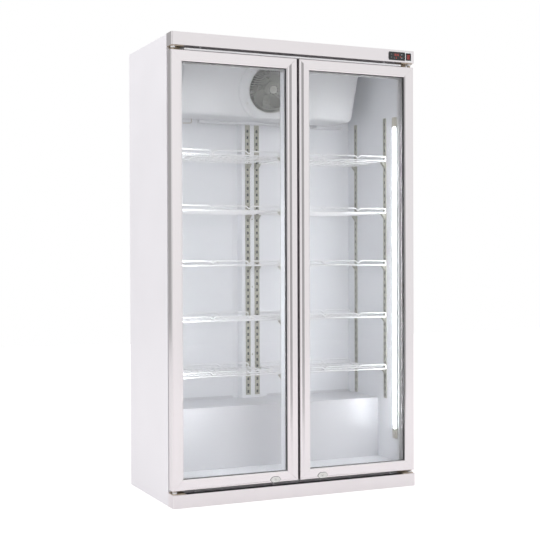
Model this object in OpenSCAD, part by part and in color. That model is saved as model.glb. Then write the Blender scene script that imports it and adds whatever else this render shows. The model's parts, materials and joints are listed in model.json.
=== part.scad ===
// Glass door merchandiser: a two-door upright display refrigerator.
// Millimetres. +Z is up, the doors face -Y, and the origin is on the floor,
// under the middle of the outside box.

/* [Cabinet] */
// Overall width
width = 1200; // [1100:10:1300]
// Overall depth, controller bezel to back panel
depth = 602; // [580:1:640]
// Overall height
height = 2035; // [1980:5:2100]
// Thickness of the insulated side walls
side_wall = 48; // [44:1:56]
// Thickness of the insulated back wall
back_wall = 38; // [34:1:46]
// Height of the cabinet floor
floor_z = 105; // [95:1:120]
// Height of the cabinet ceiling
ceiling_z = 1990; // [1980:1:2000]
// Thickness of the outer steel sheet
skin = 1.5; // [1:0.1:2]
// Thickness of the inner liner sheet
liner = 1; // [0.8:0.1:1.2]

/* [Front] */
// Height of the top fascia
fascia_h = 56; // [52:1:66]
// Height of the kick plate
kick_h = 58; // [50:1:64]
// How far the fascia and the kick plate stand in front of the cabinet
fascia_depth = 65; // [60:1:75]
// How far the controller bezel stands out of the fascia
bezel_proud = 3; // [2:0.5:4]
// Depth of the frame round the door opening
surround_depth = 14; // [10:1:20]
// Top of the door opening
opening_top = 1912; // [1905:1:1925]

/* [Doors] */
// Gap below each door
door_gap = 14.5; // [12:0.5:18]
// Gap above each door
top_gap = 18.5; // [15:0.5:20]
// Half of the gap between the doors
meeting_gap = 4.9; // [4:0.1:6]
// Distance from the cabinet front to the door face
door_face = 57; // [55:1:60]
// Depth of the aluminium door frame
frame_depth = 43; // [40:1:46]
// Face width of the top and bottom rails
rail_w = 48; // [44:1:52]
// Face width of the hinge stile
stile_w = 50; // [46:1:54]
// Face width of the handle stile
handle_w = 52; // [50:1:56]
// Height of the pull ridge along the handle stile
ridge = 3.5; // [2:0.5:5]
// Distance of the hinge pin from the cabinet's side
pin_inset = 15; // [13:1:18]
// Radius of the hinge pin
pin_r = 4; // [3:0.5:5]

/* [Interior] */
// Height of the compressor housing's top
housing_z = 388; // [370:1:400]
// Distance from the cabinet front to the compressor housing
housing_front = 197; // [190:1:210]
// Height of the lowest shelf
first_shelf_z = 540; // [520:1:560]
// Distance between shelves
shelf_pitch = 248; // [230:1:250]
// Distance from the cabinet front to the shelves
shelf_front = 78; // [74:1:90]
// Depth of a shelf
shelf_depth = 368; // [340:1:372]

/* [Evaporator] */
// Half width of the evaporator cover
cover_x = 452; // [420:1:460]
// Height of the cover's lower front edge
cover_z = 1739; // [1735:1:1750]
// Distance from the cabinet front to the cover's lower edge
cover_low_y = 278; // [270:1:290]
// Distance from the cabinet front to the cover's upper edge
cover_high_y = 188; // [180:1:200]
// Radius of the fan guard
guard_r = 115; // [105:1:125]
// Outer radius of the shroud ring
shroud_r = 164; // [155:1:170]
// Height of the fan's axis on the cover
fan_z = 1867; // [1855:1:1875]

/* [Hidden] */
$fn = 48;

// ---- planes of the cabinet ----
half_w = width / 2;
back_y = depth / 2;
front_y = -back_y + bezel_proud + fascia_depth;   // front plane of the cabinet body
body_top = height - 2;
inner_x = half_w - side_wall;
inner_y = back_y - back_wall;
base_h = 40;                                      // top of the base pan's flanges
bay_top = housing_z - 30;                         // ceiling of the machine bay
bay_front = front_y + housing_front + 28;
bay_x = inner_x + 18;
grille_top = 346;

// A distance behind the cabinet's front plane, as a Y value
function behind(d) = front_y + d;

// ---- door planes ----
door_z0 = kick_h + door_gap;
door_z1 = height - fascia_h - top_gap;
glass_z0 = door_z0 + rail_w;
glass_z1 = door_z1 - rail_w;
glass_x0 = meeting_gap + handle_w;
glass_x1 = half_w - stile_w;
face_y = behind(-door_face);
lip = 3;               // metal in front of the glass
rebate = 8.5;          // depth of the glazing rebate
unit = 20;             // thickness of the double glazing
pane = 4;              // thickness of one pane
profile_wall = 2;      // wall of the door profiles
pin_x = half_w - pin_inset;
pin_y = behind(-40);
run = 0.05;            // radial running clearance of pins and barrels
lock_x = 117;
lock_z = 86.5;
lock_r = 6;
gasket_outer_x = 583;
gasket_w = 24;
gasket_z0 = 81;
gasket_z1 = 1952;
body_gap = 0.5;        // air between pieces that move apart
joint_gap = 0.2;       // a sealed or welded joint between two solids of one piece

// ---- fascia fittings ----
fascia_y = behind(-fascia_depth);
fitting_z = height - 29;
controller_x = 506;
controller_w = 87;
controller_h = 38;
case_w = 70;
case_h = 28;
switch_w = 21;
switch_h = 27;
button_x = controller_x + 25;
button_rise = 8;
rocker_x = 568;
rocker_y = fascia_y + 5;

// ---- interior ----
pilaster_w = 24;
pilaster_d = 4;
slot_pitch = 31;
pilaster_z0 = 393;
pilaster_z1 = 1740;
side_rear_y = behind(415);
side_front_y = behind(125);
post_base = 91;
post_face = 54;
post_depth = 31;
post_pilaster_x = 24;
mullion_x = 40;
mullion_depth = 48;
mullion_pilaster_x = 27;
levels = 5;
shelf_inner_x = 22;
shelf_outer_x = 538;
frame_wire = 6;
fine_wire = 3;
lip_rise = 20;
notch_pitch = 178;
lamp_z0 = 260;
lamp_z1 = 1687;
holder_len = 47;
lamp_depth = 14;

// ---- evaporator fan ----
cover_slope = (cover_low_y - cover_high_y) / (ceiling_z - cover_z);
tilt = atan(cover_slope);
fan_y = behind(cover_low_y - (fan_z - cover_z) * cover_slope);
shroud_rise = 12;
guard_rim = 6.5;       // height of the guard's rim over the fan's plane
guard_dome = 20;       // rise of the guard's middle over its rim
fan_hole_r = 112;
fan_tip_r = 104;
shaft_r = 4;
motor_r = 38;
motor_z = -30;         // front face of a fan's motor, behind the plane of the fan
motor_arms = [30, 150, 210, 330];
arm_half = 6;
sheet = 2;

// ---- machine bay ----
bay_fan_x = -60;
bay_fan_z = 178;
bay_fan_y = behind(408);
compressor_x = 330;
compressor_y = behind(380);
compressor_h = 205;
condenser_x = [-210, 90];
condenser_y = [behind(448), behind(512)];
condenser_z = [50, 320];
coil_x = [-380, 400];
coil_y = [behind(338), behind(458)];
coil_z = [1780, 1960];
coil_stub = 12;        // how far a coil's tubes stand out of its end plates
pipe_r = 5;
riser_x = -430;
riser_y = back_y - back_wall / 2;
riser_top = coil_z[0] + (coil_z[1] - coil_z[0]) / 4;
gland_x = -470;
gland_z = 70;
gland_r = 10;
cord_r = 5.5;

// ---- helpers ----

// A block between two corners, each given as a pair per axis
module block(x, y, z) {
    translate([x[0], y[0], z[0]]) cube([x[1] - x[0], y[1] - y[0], z[1] - z[0]]);
}

// An outline in the Y-Z plane, extruded between two X values
module along_x(x0, x1) {
    translate([x0, 0, 0]) rotate([90, 0, 90]) linear_extrude(x1 - x0) children();
}

// An outline in the X-Z plane, extruded between two Y values
module along_y(y0, y1) {
    translate([0, y1, 0]) rotate([90, 0, 0]) linear_extrude(y1 - y0) children();
}

module both_sides() {
    children();
    mirror([1, 0, 0]) children();
}

function arc(cx, cy, r, from, to, steps = 6) =
    [for (i = [0:steps]) let (a = from + (to - from) * i / steps)
        [cx + r * cos(a), cy + r * sin(a)]];

// ---- outer casing ----

// A side sheet with a folded flange along its front edge
module side_panel() {
    flange = 10;
    linear_extrude(body_top) polygon([
        [half_w - flange, front_y], [half_w, front_y], [half_w, back_y],
        [half_w - skin, back_y], [half_w - skin, front_y + skin],
        [half_w - flange, front_y + skin]]);
}

module side_panel_left() {
    color([0.93, 0.92, 0.94]) mirror([1, 0, 0]) side_panel();
}

module side_panel_right() {
    color([0.93, 0.92, 0.94]) side_panel();
}

module back_panel() {
    color([0.80, 0.81, 0.82])
    block([-half_w + skin, half_w - skin], [back_y - skin, back_y],
          [grille_top, body_top]);
}

module top_panel() {
    color([0.90, 0.90, 0.91])
    block([-half_w + skin, half_w - skin], [front_y + skin, back_y - skin],
          [body_top - skin, body_top]);
}

// A tray that closes the cabinet underneath and carries the compressor
module base_pan() {
    x = half_w - skin;
    color([0.62, 0.63, 0.65]) difference() {
        block([-x, x], [front_y + skin, back_y - skin], [0, base_h]);
        block([-x + sheet, x - sheet], [front_y + skin + sheet, back_y - skin - sheet],
              [sheet, base_h + 1]);
    }
}

// The side view of the inside space, with the liner's own thickness round it
module cavity(y0) {
    step_y = behind(housing_front) + liner;
    polygon([[y0, floor_z - liner], [step_y, floor_z - liner],
             [step_y, housing_z - liner], [inner_y + liner, housing_z - liner],
             [inner_y + liner, ceiling_z + liner], [y0, ceiling_z + liner]]);
}

// Foam between the casing and the liner, in one piece
module foam_insulation() {
    x = half_w - skin;
    over = 1;
    liner_x = inner_x + liner;
    color([0.93, 0.86, 0.62]) difference() {
        block([-x, x], [front_y + surround_depth, back_y - skin], [base_h, body_top - skin]);
        along_x(-liner_x, liner_x) cavity(front_y);
        block([-bay_x, bay_x], [bay_front, back_y + over], [base_h - over, bay_top]);
        translate([riser_x, riser_y, bay_top - over]) cylinder(r = pipe_r, h = riser_top - bay_top + pipe_r + over);
        translate([riser_x, inner_y, riser_top]) rotate([-90, 0, 0]) cylinder(r = pipe_r, h = riser_y - inner_y);
    }
}

// The white liner: two side sheets, the back, the ceiling and the floor, with
// a sealed joint between each sheet and the next
module inner_liner() {
    y0 = front_y + surround_depth;
    x = inner_x - joint_gap;
    color([0.95, 0.96, 0.97]) {
        both_sides() along_x(inner_x, inner_x + liner) cavity(y0);
        difference() {
            block([-x, x], [inner_y, inner_y + liner], [housing_z, ceiling_z + liner]);
            translate([riser_x, inner_y - 1, riser_top]) rotate([-90, 0, 0])
                cylinder(r = pipe_r + joint_gap, h = liner + 2);
        }
        block([-x, x], [y0, inner_y - joint_gap], [ceiling_z, ceiling_z + liner]);
        block([-x, x], [y0, behind(housing_front)], [floor_z - liner, floor_z]);
    }
}

// The folded cover over the machine bay
module compressor_housing() {
    y = behind(housing_front);
    edge = 12;
    color([0.78, 0.79, 0.81]) difference() {
        along_x(-inner_x, inner_x) polygon([
            [y, floor_z], [y + liner, floor_z], [y + liner, housing_z - liner],
            [inner_y, housing_z - liner], [inner_y, housing_z + edge],
            [inner_y - liner, housing_z + edge], [inner_y - liner, housing_z],
            [y, housing_z]]);
        block([-post_base, post_base], [inner_y - 2, inner_y + 1],
              [housing_z, housing_z + edge + 1]);
    }
}

// The flat frame that the door gaskets close against
module door_surround() {
    x = half_w - 10;
    color([0.90, 0.90, 0.91]) difference() {
        block([-x, x], [front_y, front_y + surround_depth], [base_h, body_top - skin]);
        block([-inner_x, inner_x], [front_y - 1, front_y + surround_depth + 1],
              [floor_z, opening_top]);
    }
}

// A channel between the doors, open to the back
module centre_mullion() {
    color([0.95, 0.96, 0.97]) linear_extrude_between(floor_z, opening_top) difference() {
        translate([-mullion_x, front_y]) square([2 * mullion_x, mullion_depth]);
        translate([-mullion_x + sheet, front_y + sheet])
            square([2 * mullion_x - 2 * sheet, mullion_depth]);
    }
}

module linear_extrude_between(z0, z1) {
    translate([0, 0, z0]) linear_extrude(z1 - z0) children();
}

// ---- fascia and kick plate ----

// A hollow front cover, open to the back, with rounded front corners
module front_cover(z0, z1) {
    corner = 6;
    outline = concat([[half_w, front_y]], [[-half_w, front_y]],
        arc(-half_w + corner, fascia_y + corner, corner, 180, 270),
        arc(half_w - corner, fascia_y + corner, corner, 270, 360));
    difference() {
        linear_extrude_between(z0, z1) polygon(outline);
        block([-half_w + sheet, half_w - sheet], [fascia_y + sheet, front_y + 1],
              [z0 + sheet, z1 - sheet]);
    }
}

module top_fascia() {
    color([0.88, 0.87, 0.88]) difference() {
        front_cover(height - fascia_h, height);
        fitting_block(controller_x, case_w, case_h, body_gap, [fascia_y - 1, fascia_y + 5]);
        fitting_block(rocker_x, switch_w, switch_h, body_gap, [fascia_y - 1, fascia_y + 5]);
    }
}

// A block centred on a fitting of the fascia, grown by a margin
module fitting_block(x, w, h, margin, y) {
    block([x - w / 2 - margin, x + w / 2 + margin], y,
          [fitting_z - h / 2 - margin, fitting_z + h / 2 + margin]);
}

// The lower cover, with the two lock keepers on its top
module kick_plate() {
    keeper = 3.5;
    color([0.88, 0.87, 0.88]) {
        front_cover(0, kick_h);
        both_sides() block([lock_x - keeper, lock_x + keeper],
                           [behind(-34), behind(-32)], [kick_h, kick_h + 2 * keeper]);
    }
}

// The temperature controller: a bezel with arched ends, a sunk face, and a
// case behind it
module controller_case() {
    rim = 2;
    face_recess = 0.6;
    front = fascia_y - bezel_proud;
    color([0.08, 0.08, 0.09]) difference() {
        union() {
            along_y(front, fascia_y) bezel_outline(0);
            fitting_block(controller_x, case_w, case_h, 0, [fascia_y, fascia_y + 50]);
        }
        along_y(front - 1, front + face_recess) bezel_outline(rim);
        for (rise = [-button_rise, button_rise])
            button_block(rise, 0.4, -1, 6);
    }
}

// The outline of the controller's bezel, drawn in by a margin
module bezel_outline(margin) {
    bow = 1.5;
    translate([controller_x, fitting_z]) intersection() {
        square([controller_w - 2 * margin, controller_h - 2 * margin], center = true);
        circle(r = controller_w / 2 + bow - margin, $fn = 96);
    }
}

// The space a button takes, grown by a margin
module button_block(rise, margin, proud, deep) {
    w = 8;
    h = 5;
    block([button_x - w / 2 - margin, button_x + w / 2 + margin],
          [fascia_y - bezel_proud + proud, fascia_y + deep],
          [fitting_z + rise - h / 2 - margin, fitting_z + rise + h / 2 + margin]);
}

module button_up() {
    color([0.55, 0.56, 0.58]) button_block(button_rise, 0, 0, 4);
}

module button_down() {
    color([0.55, 0.56, 0.58]) button_block(-button_rise, 0, 0, 4);
}

// The rocker switch's frame and body, with a well for the rocker
module switch_bezel() {
    flange = 3.5;
    wall = 2;
    well = 1;
    color([0.10, 0.10, 0.11]) difference() {
        union() {
            fitting_block(rocker_x, switch_w, switch_h, flange, [fascia_y - 2, fascia_y]);
            fitting_block(rocker_x, switch_w, switch_h, 0, [fascia_y, fascia_y + 30]);
        }
        fitting_block(rocker_x, switch_w - 2 * wall, switch_h - 2 * well, 0,
                      [fascia_y - 3, fascia_y + 14]);
    }
}

// The rocker, tipped to its "on" side
module power_rocker() {
    rest_tip = 8;
    color([0.75, 0.12, 0.12]) translate([0, rocker_y, fitting_z]) rotate([rest_tip, 0, 0])
        along_x(rocker_x - 8, rocker_x + 8) polygon([
            [-6.5, -11], [-5, 0], [-6.5, 11], [0, 10.5], [4.5, 5], [4.5, -5], [0, -10.5]]);
}

// ---- hinges ----

// One bracket: a plate on the fascia or kick plate, a leg on the cabinet
// front, a collar that fills the gap to the door, and the pin it turns on
module hinge_bracket(plate_z, gap, up) {
    plate = 3;
    leg = 20;
    collar_r = 7;
    pin_len = 26;
    inner_end = half_w - 60;
    translate([0, 0, plate_z]) scale_z(up) {
        block([inner_end, half_w - 2], [behind(-50), front_y], [0, plate]);
        block([inner_end, half_w - 12], [front_y - plate, front_y], [plate, leg]);
        translate([pin_x, pin_y, plate])
            cylinder(r = collar_r, h = gap - plate - body_gap);
        translate([pin_x, pin_y, plate]) cylinder(r = pin_r, h = gap - plate + pin_len);
    }
}

// Turns a piece upside down when up is -1
module scale_z(up) {
    if (up > 0) children();
    else mirror([0, 0, 1]) children();
}

module hinge_brackets() {
    color([0.72, 0.62, 0.42]) both_sides() {
        hinge_bracket(kick_h, door_gap, 1);
        hinge_bracket(height - fascia_h, top_gap, -1);
    }
}

// ---- doors ----

// Outline shared by every door profile, from its outer edge at 0 to the glass
// at w, and from the face at 0 back to frame_depth; front lists the face
module profile(w, front) {
    pocket = w - rebate;
    difference() {
        polygon(concat(front, [
            [w, lip], [pocket, lip], [pocket, lip + unit], [w, lip + unit],
            [w, lip + unit + 4], [w - 6, frame_depth], [0, frame_depth]]));
        translate([profile_wall, profile_wall])
            square([pocket - 2 * profile_wall, frame_depth - 2 * profile_wall]);
    }
}

// A plain face with a round outer edge and a bevel towards the glass
module plain_profile(w) {
    profile(w, concat(arc(4, 4, 4, 180, 270), [[w - 6, 0]]));
}

// A face with a raised pull ridge near the meeting edge
module handle_profile() {
    profile(handle_w, concat(arc(3, 3, 3, 180, 270), [
        [11, 0], [22, -ridge], [28, -ridge], [39, 0], [handle_w - 6, 0]]));
}

// Keeps what lies inside a mitred outline of the X-Z plane
module mitred(points) {
    intersection() {
        children();
        along_y(face_y - ridge - 1, front_y) polygon(points);
    }
}

module hinge_stile() {
    block_w = 34;
    color([0.87, 0.86, 0.87]) difference() {
        mitred([[half_w, door_z0], [half_w, door_z1], [glass_x1, glass_z1],
                [glass_x1, glass_z0]])
            union() {
                linear_extrude_between(door_z0, door_z1)
                    translate([half_w, face_y]) mirror([1, 0, 0]) plain_profile(stile_w);
                for (z = [door_z0, door_z1 - block_w])
                    block([half_w - 28, half_w - 1.5], [face_y + 1.5, face_y + frame_depth - 1.5],
                          [z, z + block_w]);
            }
        pin_bores(run);
    }
}

module pin_bores(clearance) {
    depth_in = 30;
    for (z = [door_z0 - 1, door_z1 - depth_in])
        translate([pin_x, pin_y, z]) cylinder(r = pin_r + clearance, h = depth_in + 1);
}

module handle_stile() {
    color([0.87, 0.86, 0.87])
    mitred([[meeting_gap, door_z0], [glass_x0, glass_z0], [glass_x0, glass_z1],
            [meeting_gap, door_z1]])
        linear_extrude_between(door_z0, door_z1)
            translate([meeting_gap, face_y]) handle_profile();
}

// A rail's profile, extruded along X with its outer edge at edge_z
module rail_bar(edge_z, up) {
    translate([0, 0, edge_z]) scale_z(up)
        along_x(meeting_gap, half_w) translate([face_y, 0]) mirror([1, -1]) plain_profile(rail_w);
}

module top_rail() {
    color([0.87, 0.86, 0.87]) difference() {
        mitred([[meeting_gap, door_z1], [glass_x0, glass_z1], [glass_x1, glass_z1],
                [half_w, door_z1]])
            rail_bar(door_z1, -1);
        pin_bores(0.5);
    }
}

module bottom_rail() {
    slot = lock_r + 2;
    color([0.87, 0.86, 0.87]) difference() {
        mitred([[meeting_gap, door_z0], [glass_x0, glass_z0], [glass_x1, glass_z0],
                [half_w, door_z0]])
            rail_bar(door_z0, 1);
        pin_bores(0.5);
        translate([lock_x, face_y - 1, lock_z]) rotate([-90, 0, 0])
            cylinder(r = lock_r + run, h = 10);
        block([lock_x - 28, lock_x + slot], [behind(-32), behind(-24)],
              [door_z0 - 1, door_z0 + 3]);
    }
}

// The two panes of the double glazing
module glass() {
    cover = rebate - 0.5;
    y = face_y + lip;
    color([0.80, 0.88, 0.87, 0.35]) for (d = [0, unit - pane])
        block([glass_x0 - cover, glass_x1 + cover], [y + d, y + d + pane],
              [glass_z0 - cover, glass_z1 + cover]);
}

// The black bar that holds the panes apart
module spacer() {
    outer = rebate - 1;
    y = face_y + lip + pane;
    color([0.10, 0.10, 0.11]) difference() {
        block([glass_x0 - outer, glass_x1 + outer], [y, y + unit - 2 * pane],
              [glass_z0 - outer, glass_z1 + outer]);
        block([glass_x0, glass_x1], [y - 1, y + unit],
              [glass_z0, glass_z1]);
    }
}

// The magnetic seal on the back of a door
module gasket() {
    inner_edge = 12;
    color([0.78, 0.78, 0.79]) difference() {
        block([inner_edge, gasket_outer_x], [face_y + frame_depth, front_y - body_gap],
              [gasket_z0, gasket_z1]);
        block([inner_edge + gasket_w, gasket_outer_x - gasket_w],
              [face_y + frame_depth - 1, front_y],
              [gasket_z0 + gasket_w, gasket_z1 - gasket_w]);
    }
}

// The oval plate round a door's lock
module lock_plate() {
    color([0.80, 0.80, 0.80]) difference() {
        along_y(face_y - 2, face_y) translate([lock_x, lock_z]) intersection() {
            square([48, 25], center = true);
            translate([0, 13]) circle(r = 28, $fn = 96);
            translate([0, -13]) circle(r = 28, $fn = 96);
        }
        translate([lock_x, face_y - 3, lock_z]) rotate([-90, 0, 0])
            cylinder(r = lock_r + run, h = 4);
    }
}

// The key barrel and its cam, which swings down behind the keeper
module lock_barrel() {
    cam = 24;
    slot_turn = 40;
    color([0.70, 0.70, 0.68]) {
        difference() {
            translate([lock_x, face_y - 2.6, lock_z]) rotate([-90, 0, 0])
                cylinder(r = lock_r, h = door_face - 30 + 2.6);
            translate([lock_x, 0, lock_z]) rotate([0, slot_turn, 0])
                block([-0.9, 0.9], [face_y - 3, face_y + 8], [-3.8, 3.8]);
        }
        block([lock_x - cam, lock_x + 4], [behind(-30), behind(-27)],
              [lock_z - 4, lock_z + 4]);
    }
}

module left() {
    mirror([1, 0, 0]) children();
}

module door_left_top_rail() { left() top_rail(); }
module door_left_bottom_rail() { left() bottom_rail(); }
module door_left_hinge_stile() { left() hinge_stile(); }
module door_left_handle_stile() { left() handle_stile(); }
module door_left_glass() { left() glass(); }
module door_left_spacer() { left() spacer(); }
module door_left_gasket() { left() gasket(); }
module lock_plate_left() { left() lock_plate(); }
module lock_barrel_left() { left() lock_barrel(); }
module door_right_top_rail() { top_rail(); }
module door_right_bottom_rail() { bottom_rail(); }
module door_right_hinge_stile() { hinge_stile(); }
module door_right_handle_stile() { handle_stile(); }
module door_right_glass() { glass(); }
module door_right_spacer() { spacer(); }
module door_right_gasket() { gasket(); }
module lock_plate_right() { lock_plate(); }
module lock_barrel_right() { lock_barrel(); }

// ---- shelving ----

// A slotted strip that stands against a wall at y = 0 and faces -Y
module pilaster(z0, z1) {
    slot_w = 10;
    slot_h = 14;
    edge = 1.5;
    along_y(-pilaster_d, -pilaster_d + edge) difference() {
        translate([-pilaster_w / 2, z0]) square([pilaster_w, z1 - z0]);
        for (z = [z0 + slot_pitch / 2 : slot_pitch : z1 - slot_pitch / 2])
            translate([-slot_w / 2, z - slot_h / 2]) square([slot_w, slot_h]);
    }
    for (x = [-pilaster_w / 2, pilaster_w / 2 - edge])
        block([x, x + edge], [-pilaster_d + edge, 0], [z0, z1]);
}

// Each place a pilaster stands: on the side walls, the rear post and the mullion
module at_side_wall(y) {
    both_sides() translate([inner_x, y, 0]) rotate([0, 0, -90]) children();
}

module at_rear_post() {
    both_sides() translate([post_pilaster_x, inner_y - post_depth, 0]) children();
}

module at_mullion() {
    both_sides() translate([mullion_pilaster_x, front_y + mullion_depth, 0])
        rotate([0, 0, 180]) children();
}

module shelf_pilasters() {
    color([0.66, 0.65, 0.58]) {
        at_side_wall(side_rear_y) pilaster(pilaster_z0, pilaster_z1);
        at_side_wall(side_front_y) pilaster(pilaster_z0, pilaster_z1);
        at_rear_post() pilaster(pilaster_z0 + 10, pilaster_z1 - 20);
        at_mullion() pilaster(pilaster_z0, pilaster_z1);
    }
}

function shelf_z(level) = first_shelf_z + (level - 1) * shelf_pitch;

// A hooked clip: it stands on a pilaster's face and a shelf rests on it
module clip(reach) {
    w = 9;
    thick = 2.5;
    drop = 22;
    translate([-w, 0, 0]) rotate([90, 0, 90]) linear_extrude(2 * w) polygon([
        [-pilaster_d, 0], [-pilaster_d - reach, 0], [-pilaster_d - reach, -thick],
        [-pilaster_d - thick, -drop], [-pilaster_d, -drop]]);
}

module shelf_clips() {
    rear_gap = inner_y - post_depth - pilaster_d - behind(shelf_front + shelf_depth);
    front_gap = shelf_front - mullion_depth - pilaster_d;
    color([0.60, 0.60, 0.56]) for (level = [1:levels])
        translate([0, 0, shelf_z(level) - frame_wire / 2]) {
            at_side_wall(side_rear_y) clip(18);
            at_side_wall(side_front_y) clip(18);
            at_rear_post() clip(rear_gap + 14);
            at_mullion() clip(front_gap + 14);
        }
}

// A straight bar of square section
module bar(from, to, t) {
    block([from[0] - t / 2, to[0] + t / 2], [from[1] - t / 2, to[1] + t / 2],
          [from[2] - t / 2, to[2] + t / 2]);
}

// A raised lip wire with two V notches, in the X-Z plane
module lip_wire(y, z) {
    t = frame_wire / 2;
    mid = (shelf_inner_x + shelf_outer_x) / 2;
    a = mid - notch_pitch / 2;
    b = mid + notch_pitch / 2;
    v = lip_rise - frame_wire - joint_gap;   // the notch dips to a weld on the wire below
    function path(s) = [[shelf_inner_x, s], [a - v, s], [a, s - v], [a + v, s],
                        [b - v, s], [b, s - v], [b + v, s], [shelf_outer_x, s]];
    upper = path(lip_rise + t);
    lower = path(lip_rise - t);
    along_y(y - t, y + t) translate([0, z])
        polygon(concat(upper, [for (i = [len(lower) - 1 : -1 : 0]) lower[i]]));
    for (x = [shelf_inner_x, shelf_outer_x - frame_wire])
        block([x, x + frame_wire], [y - t, y + t], [z + t + joint_gap, z + lip_rise]);
}

// One wire shelf of the right-hand bay
module shelf(z) {
    y0 = behind(shelf_front) + frame_wire / 2;
    y1 = behind(shelf_front + shelf_depth) - frame_wire / 2;
    x0 = shelf_inner_x + frame_wire / 2;
    x1 = shelf_outer_x - frame_wire / 2;
    fine = 18;
    cross = 4;
    for (i = [0:cross])
        let (y = y0 + (y1 - y0) * i / cross)
            bar([x0, y, z], [x1, y, z], frame_wire);
    for (x = [x0, x1]) bar([x, y0, z], [x, y1, z], frame_wire);
    for (i = [1:fine - 1])
        let (x = x0 + (x1 - x0) * i / fine)
            bar([x, y0, z + 2.5], [x, y1, z + 2.5], fine_wire);
    lip_wire(y0, z);
    lip_wire(y1, z);
}

module shelves(level) {
    color([0.94, 0.95, 0.96]) both_sides() shelf(shelf_z(level));
}

module shelves_level_1() { shelves(1); }
module shelves_level_2() { shelves(2); }
module shelves_level_3() { shelves(3); }
module shelves_level_4() { shelves(4); }
module shelves_level_5() { shelves(5); }

// The hat-section post in the middle of the back wall
module rear_post() {
    t = 1.2;
    f = inner_y - post_depth;
    color([0.92, 0.93, 0.94]) linear_extrude_between(housing_z, ceiling_z) polygon([
        [-post_base, inner_y], [-post_base, inner_y - t], [-post_face - 12, inner_y - t],
        [-post_face, f], [post_face, f], [post_face + 12, inner_y - t],
        [post_base, inner_y - t], [post_base, inner_y], [post_face + 11, inner_y],
        [post_face - 1, f + t], [1 - post_face, f + t], [-post_face - 11, inner_y]]);
}

// ---- lights ----

// A stretch of lamp on each side wall, just behind the frame of the opening
module lamp_bar(z0, z1, size) {
    lamp_w = 22;
    both_sides() block([inner_x - size, inner_x],
                       [behind(surround_depth), behind(surround_depth + lamp_w)], [z0, z1]);
}

module led_lamps() {
    color([0.98, 0.99, 1.0]) lamp_bar(lamp_z0, lamp_z1, lamp_depth);
}

module led_holders() {
    color([0.88, 0.86, 0.80]) {
        lamp_bar(lamp_z0 - holder_len, lamp_z0, lamp_depth + 1);
        lamp_bar(lamp_z1, lamp_z1 + holder_len, lamp_depth + 1);
    }
}

// ---- evaporator ----

// Puts its children on the slanted cover, with +Z along the fan's axis
module at_fan() {
    translate([0, fan_y, fan_z]) rotate([90 + tilt, 0, 0]) children();
}

// The sloping cover: front, underside and two end cheeks in one moulding
module evaporator_cover() {
    y0 = behind(cover_low_y);
    y1 = behind(cover_high_y);
    under_back = behind(430);
    inset = sheet / cos(tilt);
    color([0.90, 0.91, 0.92]) difference() {
        along_x(-cover_x, cover_x) polygon([
            [y0, cover_z], [under_back, cover_z - 6], [inner_y, cover_z + 30],
            [inner_y, ceiling_z], [y1, ceiling_z]]);
        along_x(-cover_x + sheet, cover_x - sheet) polygon([
            [y0 - sheet * cover_slope + inset, cover_z + sheet],
            [under_back, cover_z - 6 + sheet], [under_back, cover_z - 20],
            [inner_y + 1, cover_z - 20], [inner_y + 1, ceiling_z + 1],
            [y1 - cover_slope + inset, ceiling_z + 1]]);
        at_fan() translate([0, 0, -20]) cylinder(r = fan_hole_r, h = 40, $fn = 96);
    }
}

// The low dished ring round the fan, trimmed flat under the ceiling and just
// below the cover's lower edge
module fan_shroud() {
    brim = 14;
    overhang = 8;
    color([0.93, 0.94, 0.94]) intersection() {
        at_fan() rotate_extrude($fn = 120) polygon([
            [shroud_r, 0], [shroud_r, 3], [shroud_r - 4, 8], [shroud_r - brim, shroud_rise],
            [guard_r + 3, shroud_rise - 1], [guard_r, shroud_rise - 3],
            [guard_r, shroud_rise - 6], [shroud_r - brim, shroud_rise - 4],
            [shroud_r - brim - 4, 0]]);
        block([-width, width], [front_y, inner_y], [cover_z - overhang, ceiling_z]);
    }
}

// Height of the guard's dome over the fan's plane
function guard_lift(r) = guard_rim + guard_dome * (1 - pow(r / guard_r, 3));

// The domed wire guard: rings on curved spokes, with a disc in the middle
module fan_guard() {
    wire = 2;
    rings = 12;
    spokes = 8;
    hub = 20;
    disc_r = 9;
    steps = 10;
    radii = [for (i = [0:steps]) disc_r - 4 + (guard_r - disc_r + 3) * i / steps];
    spoke = concat([for (r = radii) [r, guard_lift(r) + wire / 2]],
                   [for (i = [steps:-1:0]) [radii[i], guard_lift(radii[i]) - wire / 2]]);
    color([0.60, 0.61, 0.60]) at_fan() {
        for (i = [0:rings])
            let (r = hub + (guard_r - hub) * i / rings)
                translate([0, 0, guard_lift(r)]) linear_extrude(wire) difference() {
                    circle(r = r, $fn = 120);
                    circle(r = r - wire, $fn = 120);
                }
        for (i = [0:spokes - 1])
            rotate([90, 0, i * 360 / spokes])
                linear_extrude(wire, center = true) polygon(spoke);
        translate([0, 0, guard_lift(0) - wire / 2]) cylinder(r = disc_r, h = 2 * wire);
    }
}

// A motor on four arms, its shaft along +Z and its front face at motor_z
module fan_motor(r, length, arm_r) {
    arm = 4;
    cylinder_between(motor_z - length, motor_z, r);
    cylinder_between(motor_z - 2, arm, shaft_r);
    for (a = motor_arms)
        rotate([0, 0, a]) block([r - 2, arm_r], [-arm_half, arm_half],
                                [motor_z - 2 * arm, motor_z - arm]);
}

module cylinder_between(z0, z1, r) {
    translate([0, 0, z0]) cylinder(r = r, h = z1 - z0);
}

// The arms end in posts that stand on the back of the cover
module evaporator_fan_motor() {
    arm_r = 136;
    post = 6;
    color([0.25, 0.26, 0.28]) at_fan() {
        fan_motor(motor_r, 50, arm_r);
        for (a = motor_arms)
            rotate([0, 0, a]) block([arm_r - post, arm_r], [-arm_half, arm_half],
                                    [motor_z - post, -sheet]);
    }
}

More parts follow.
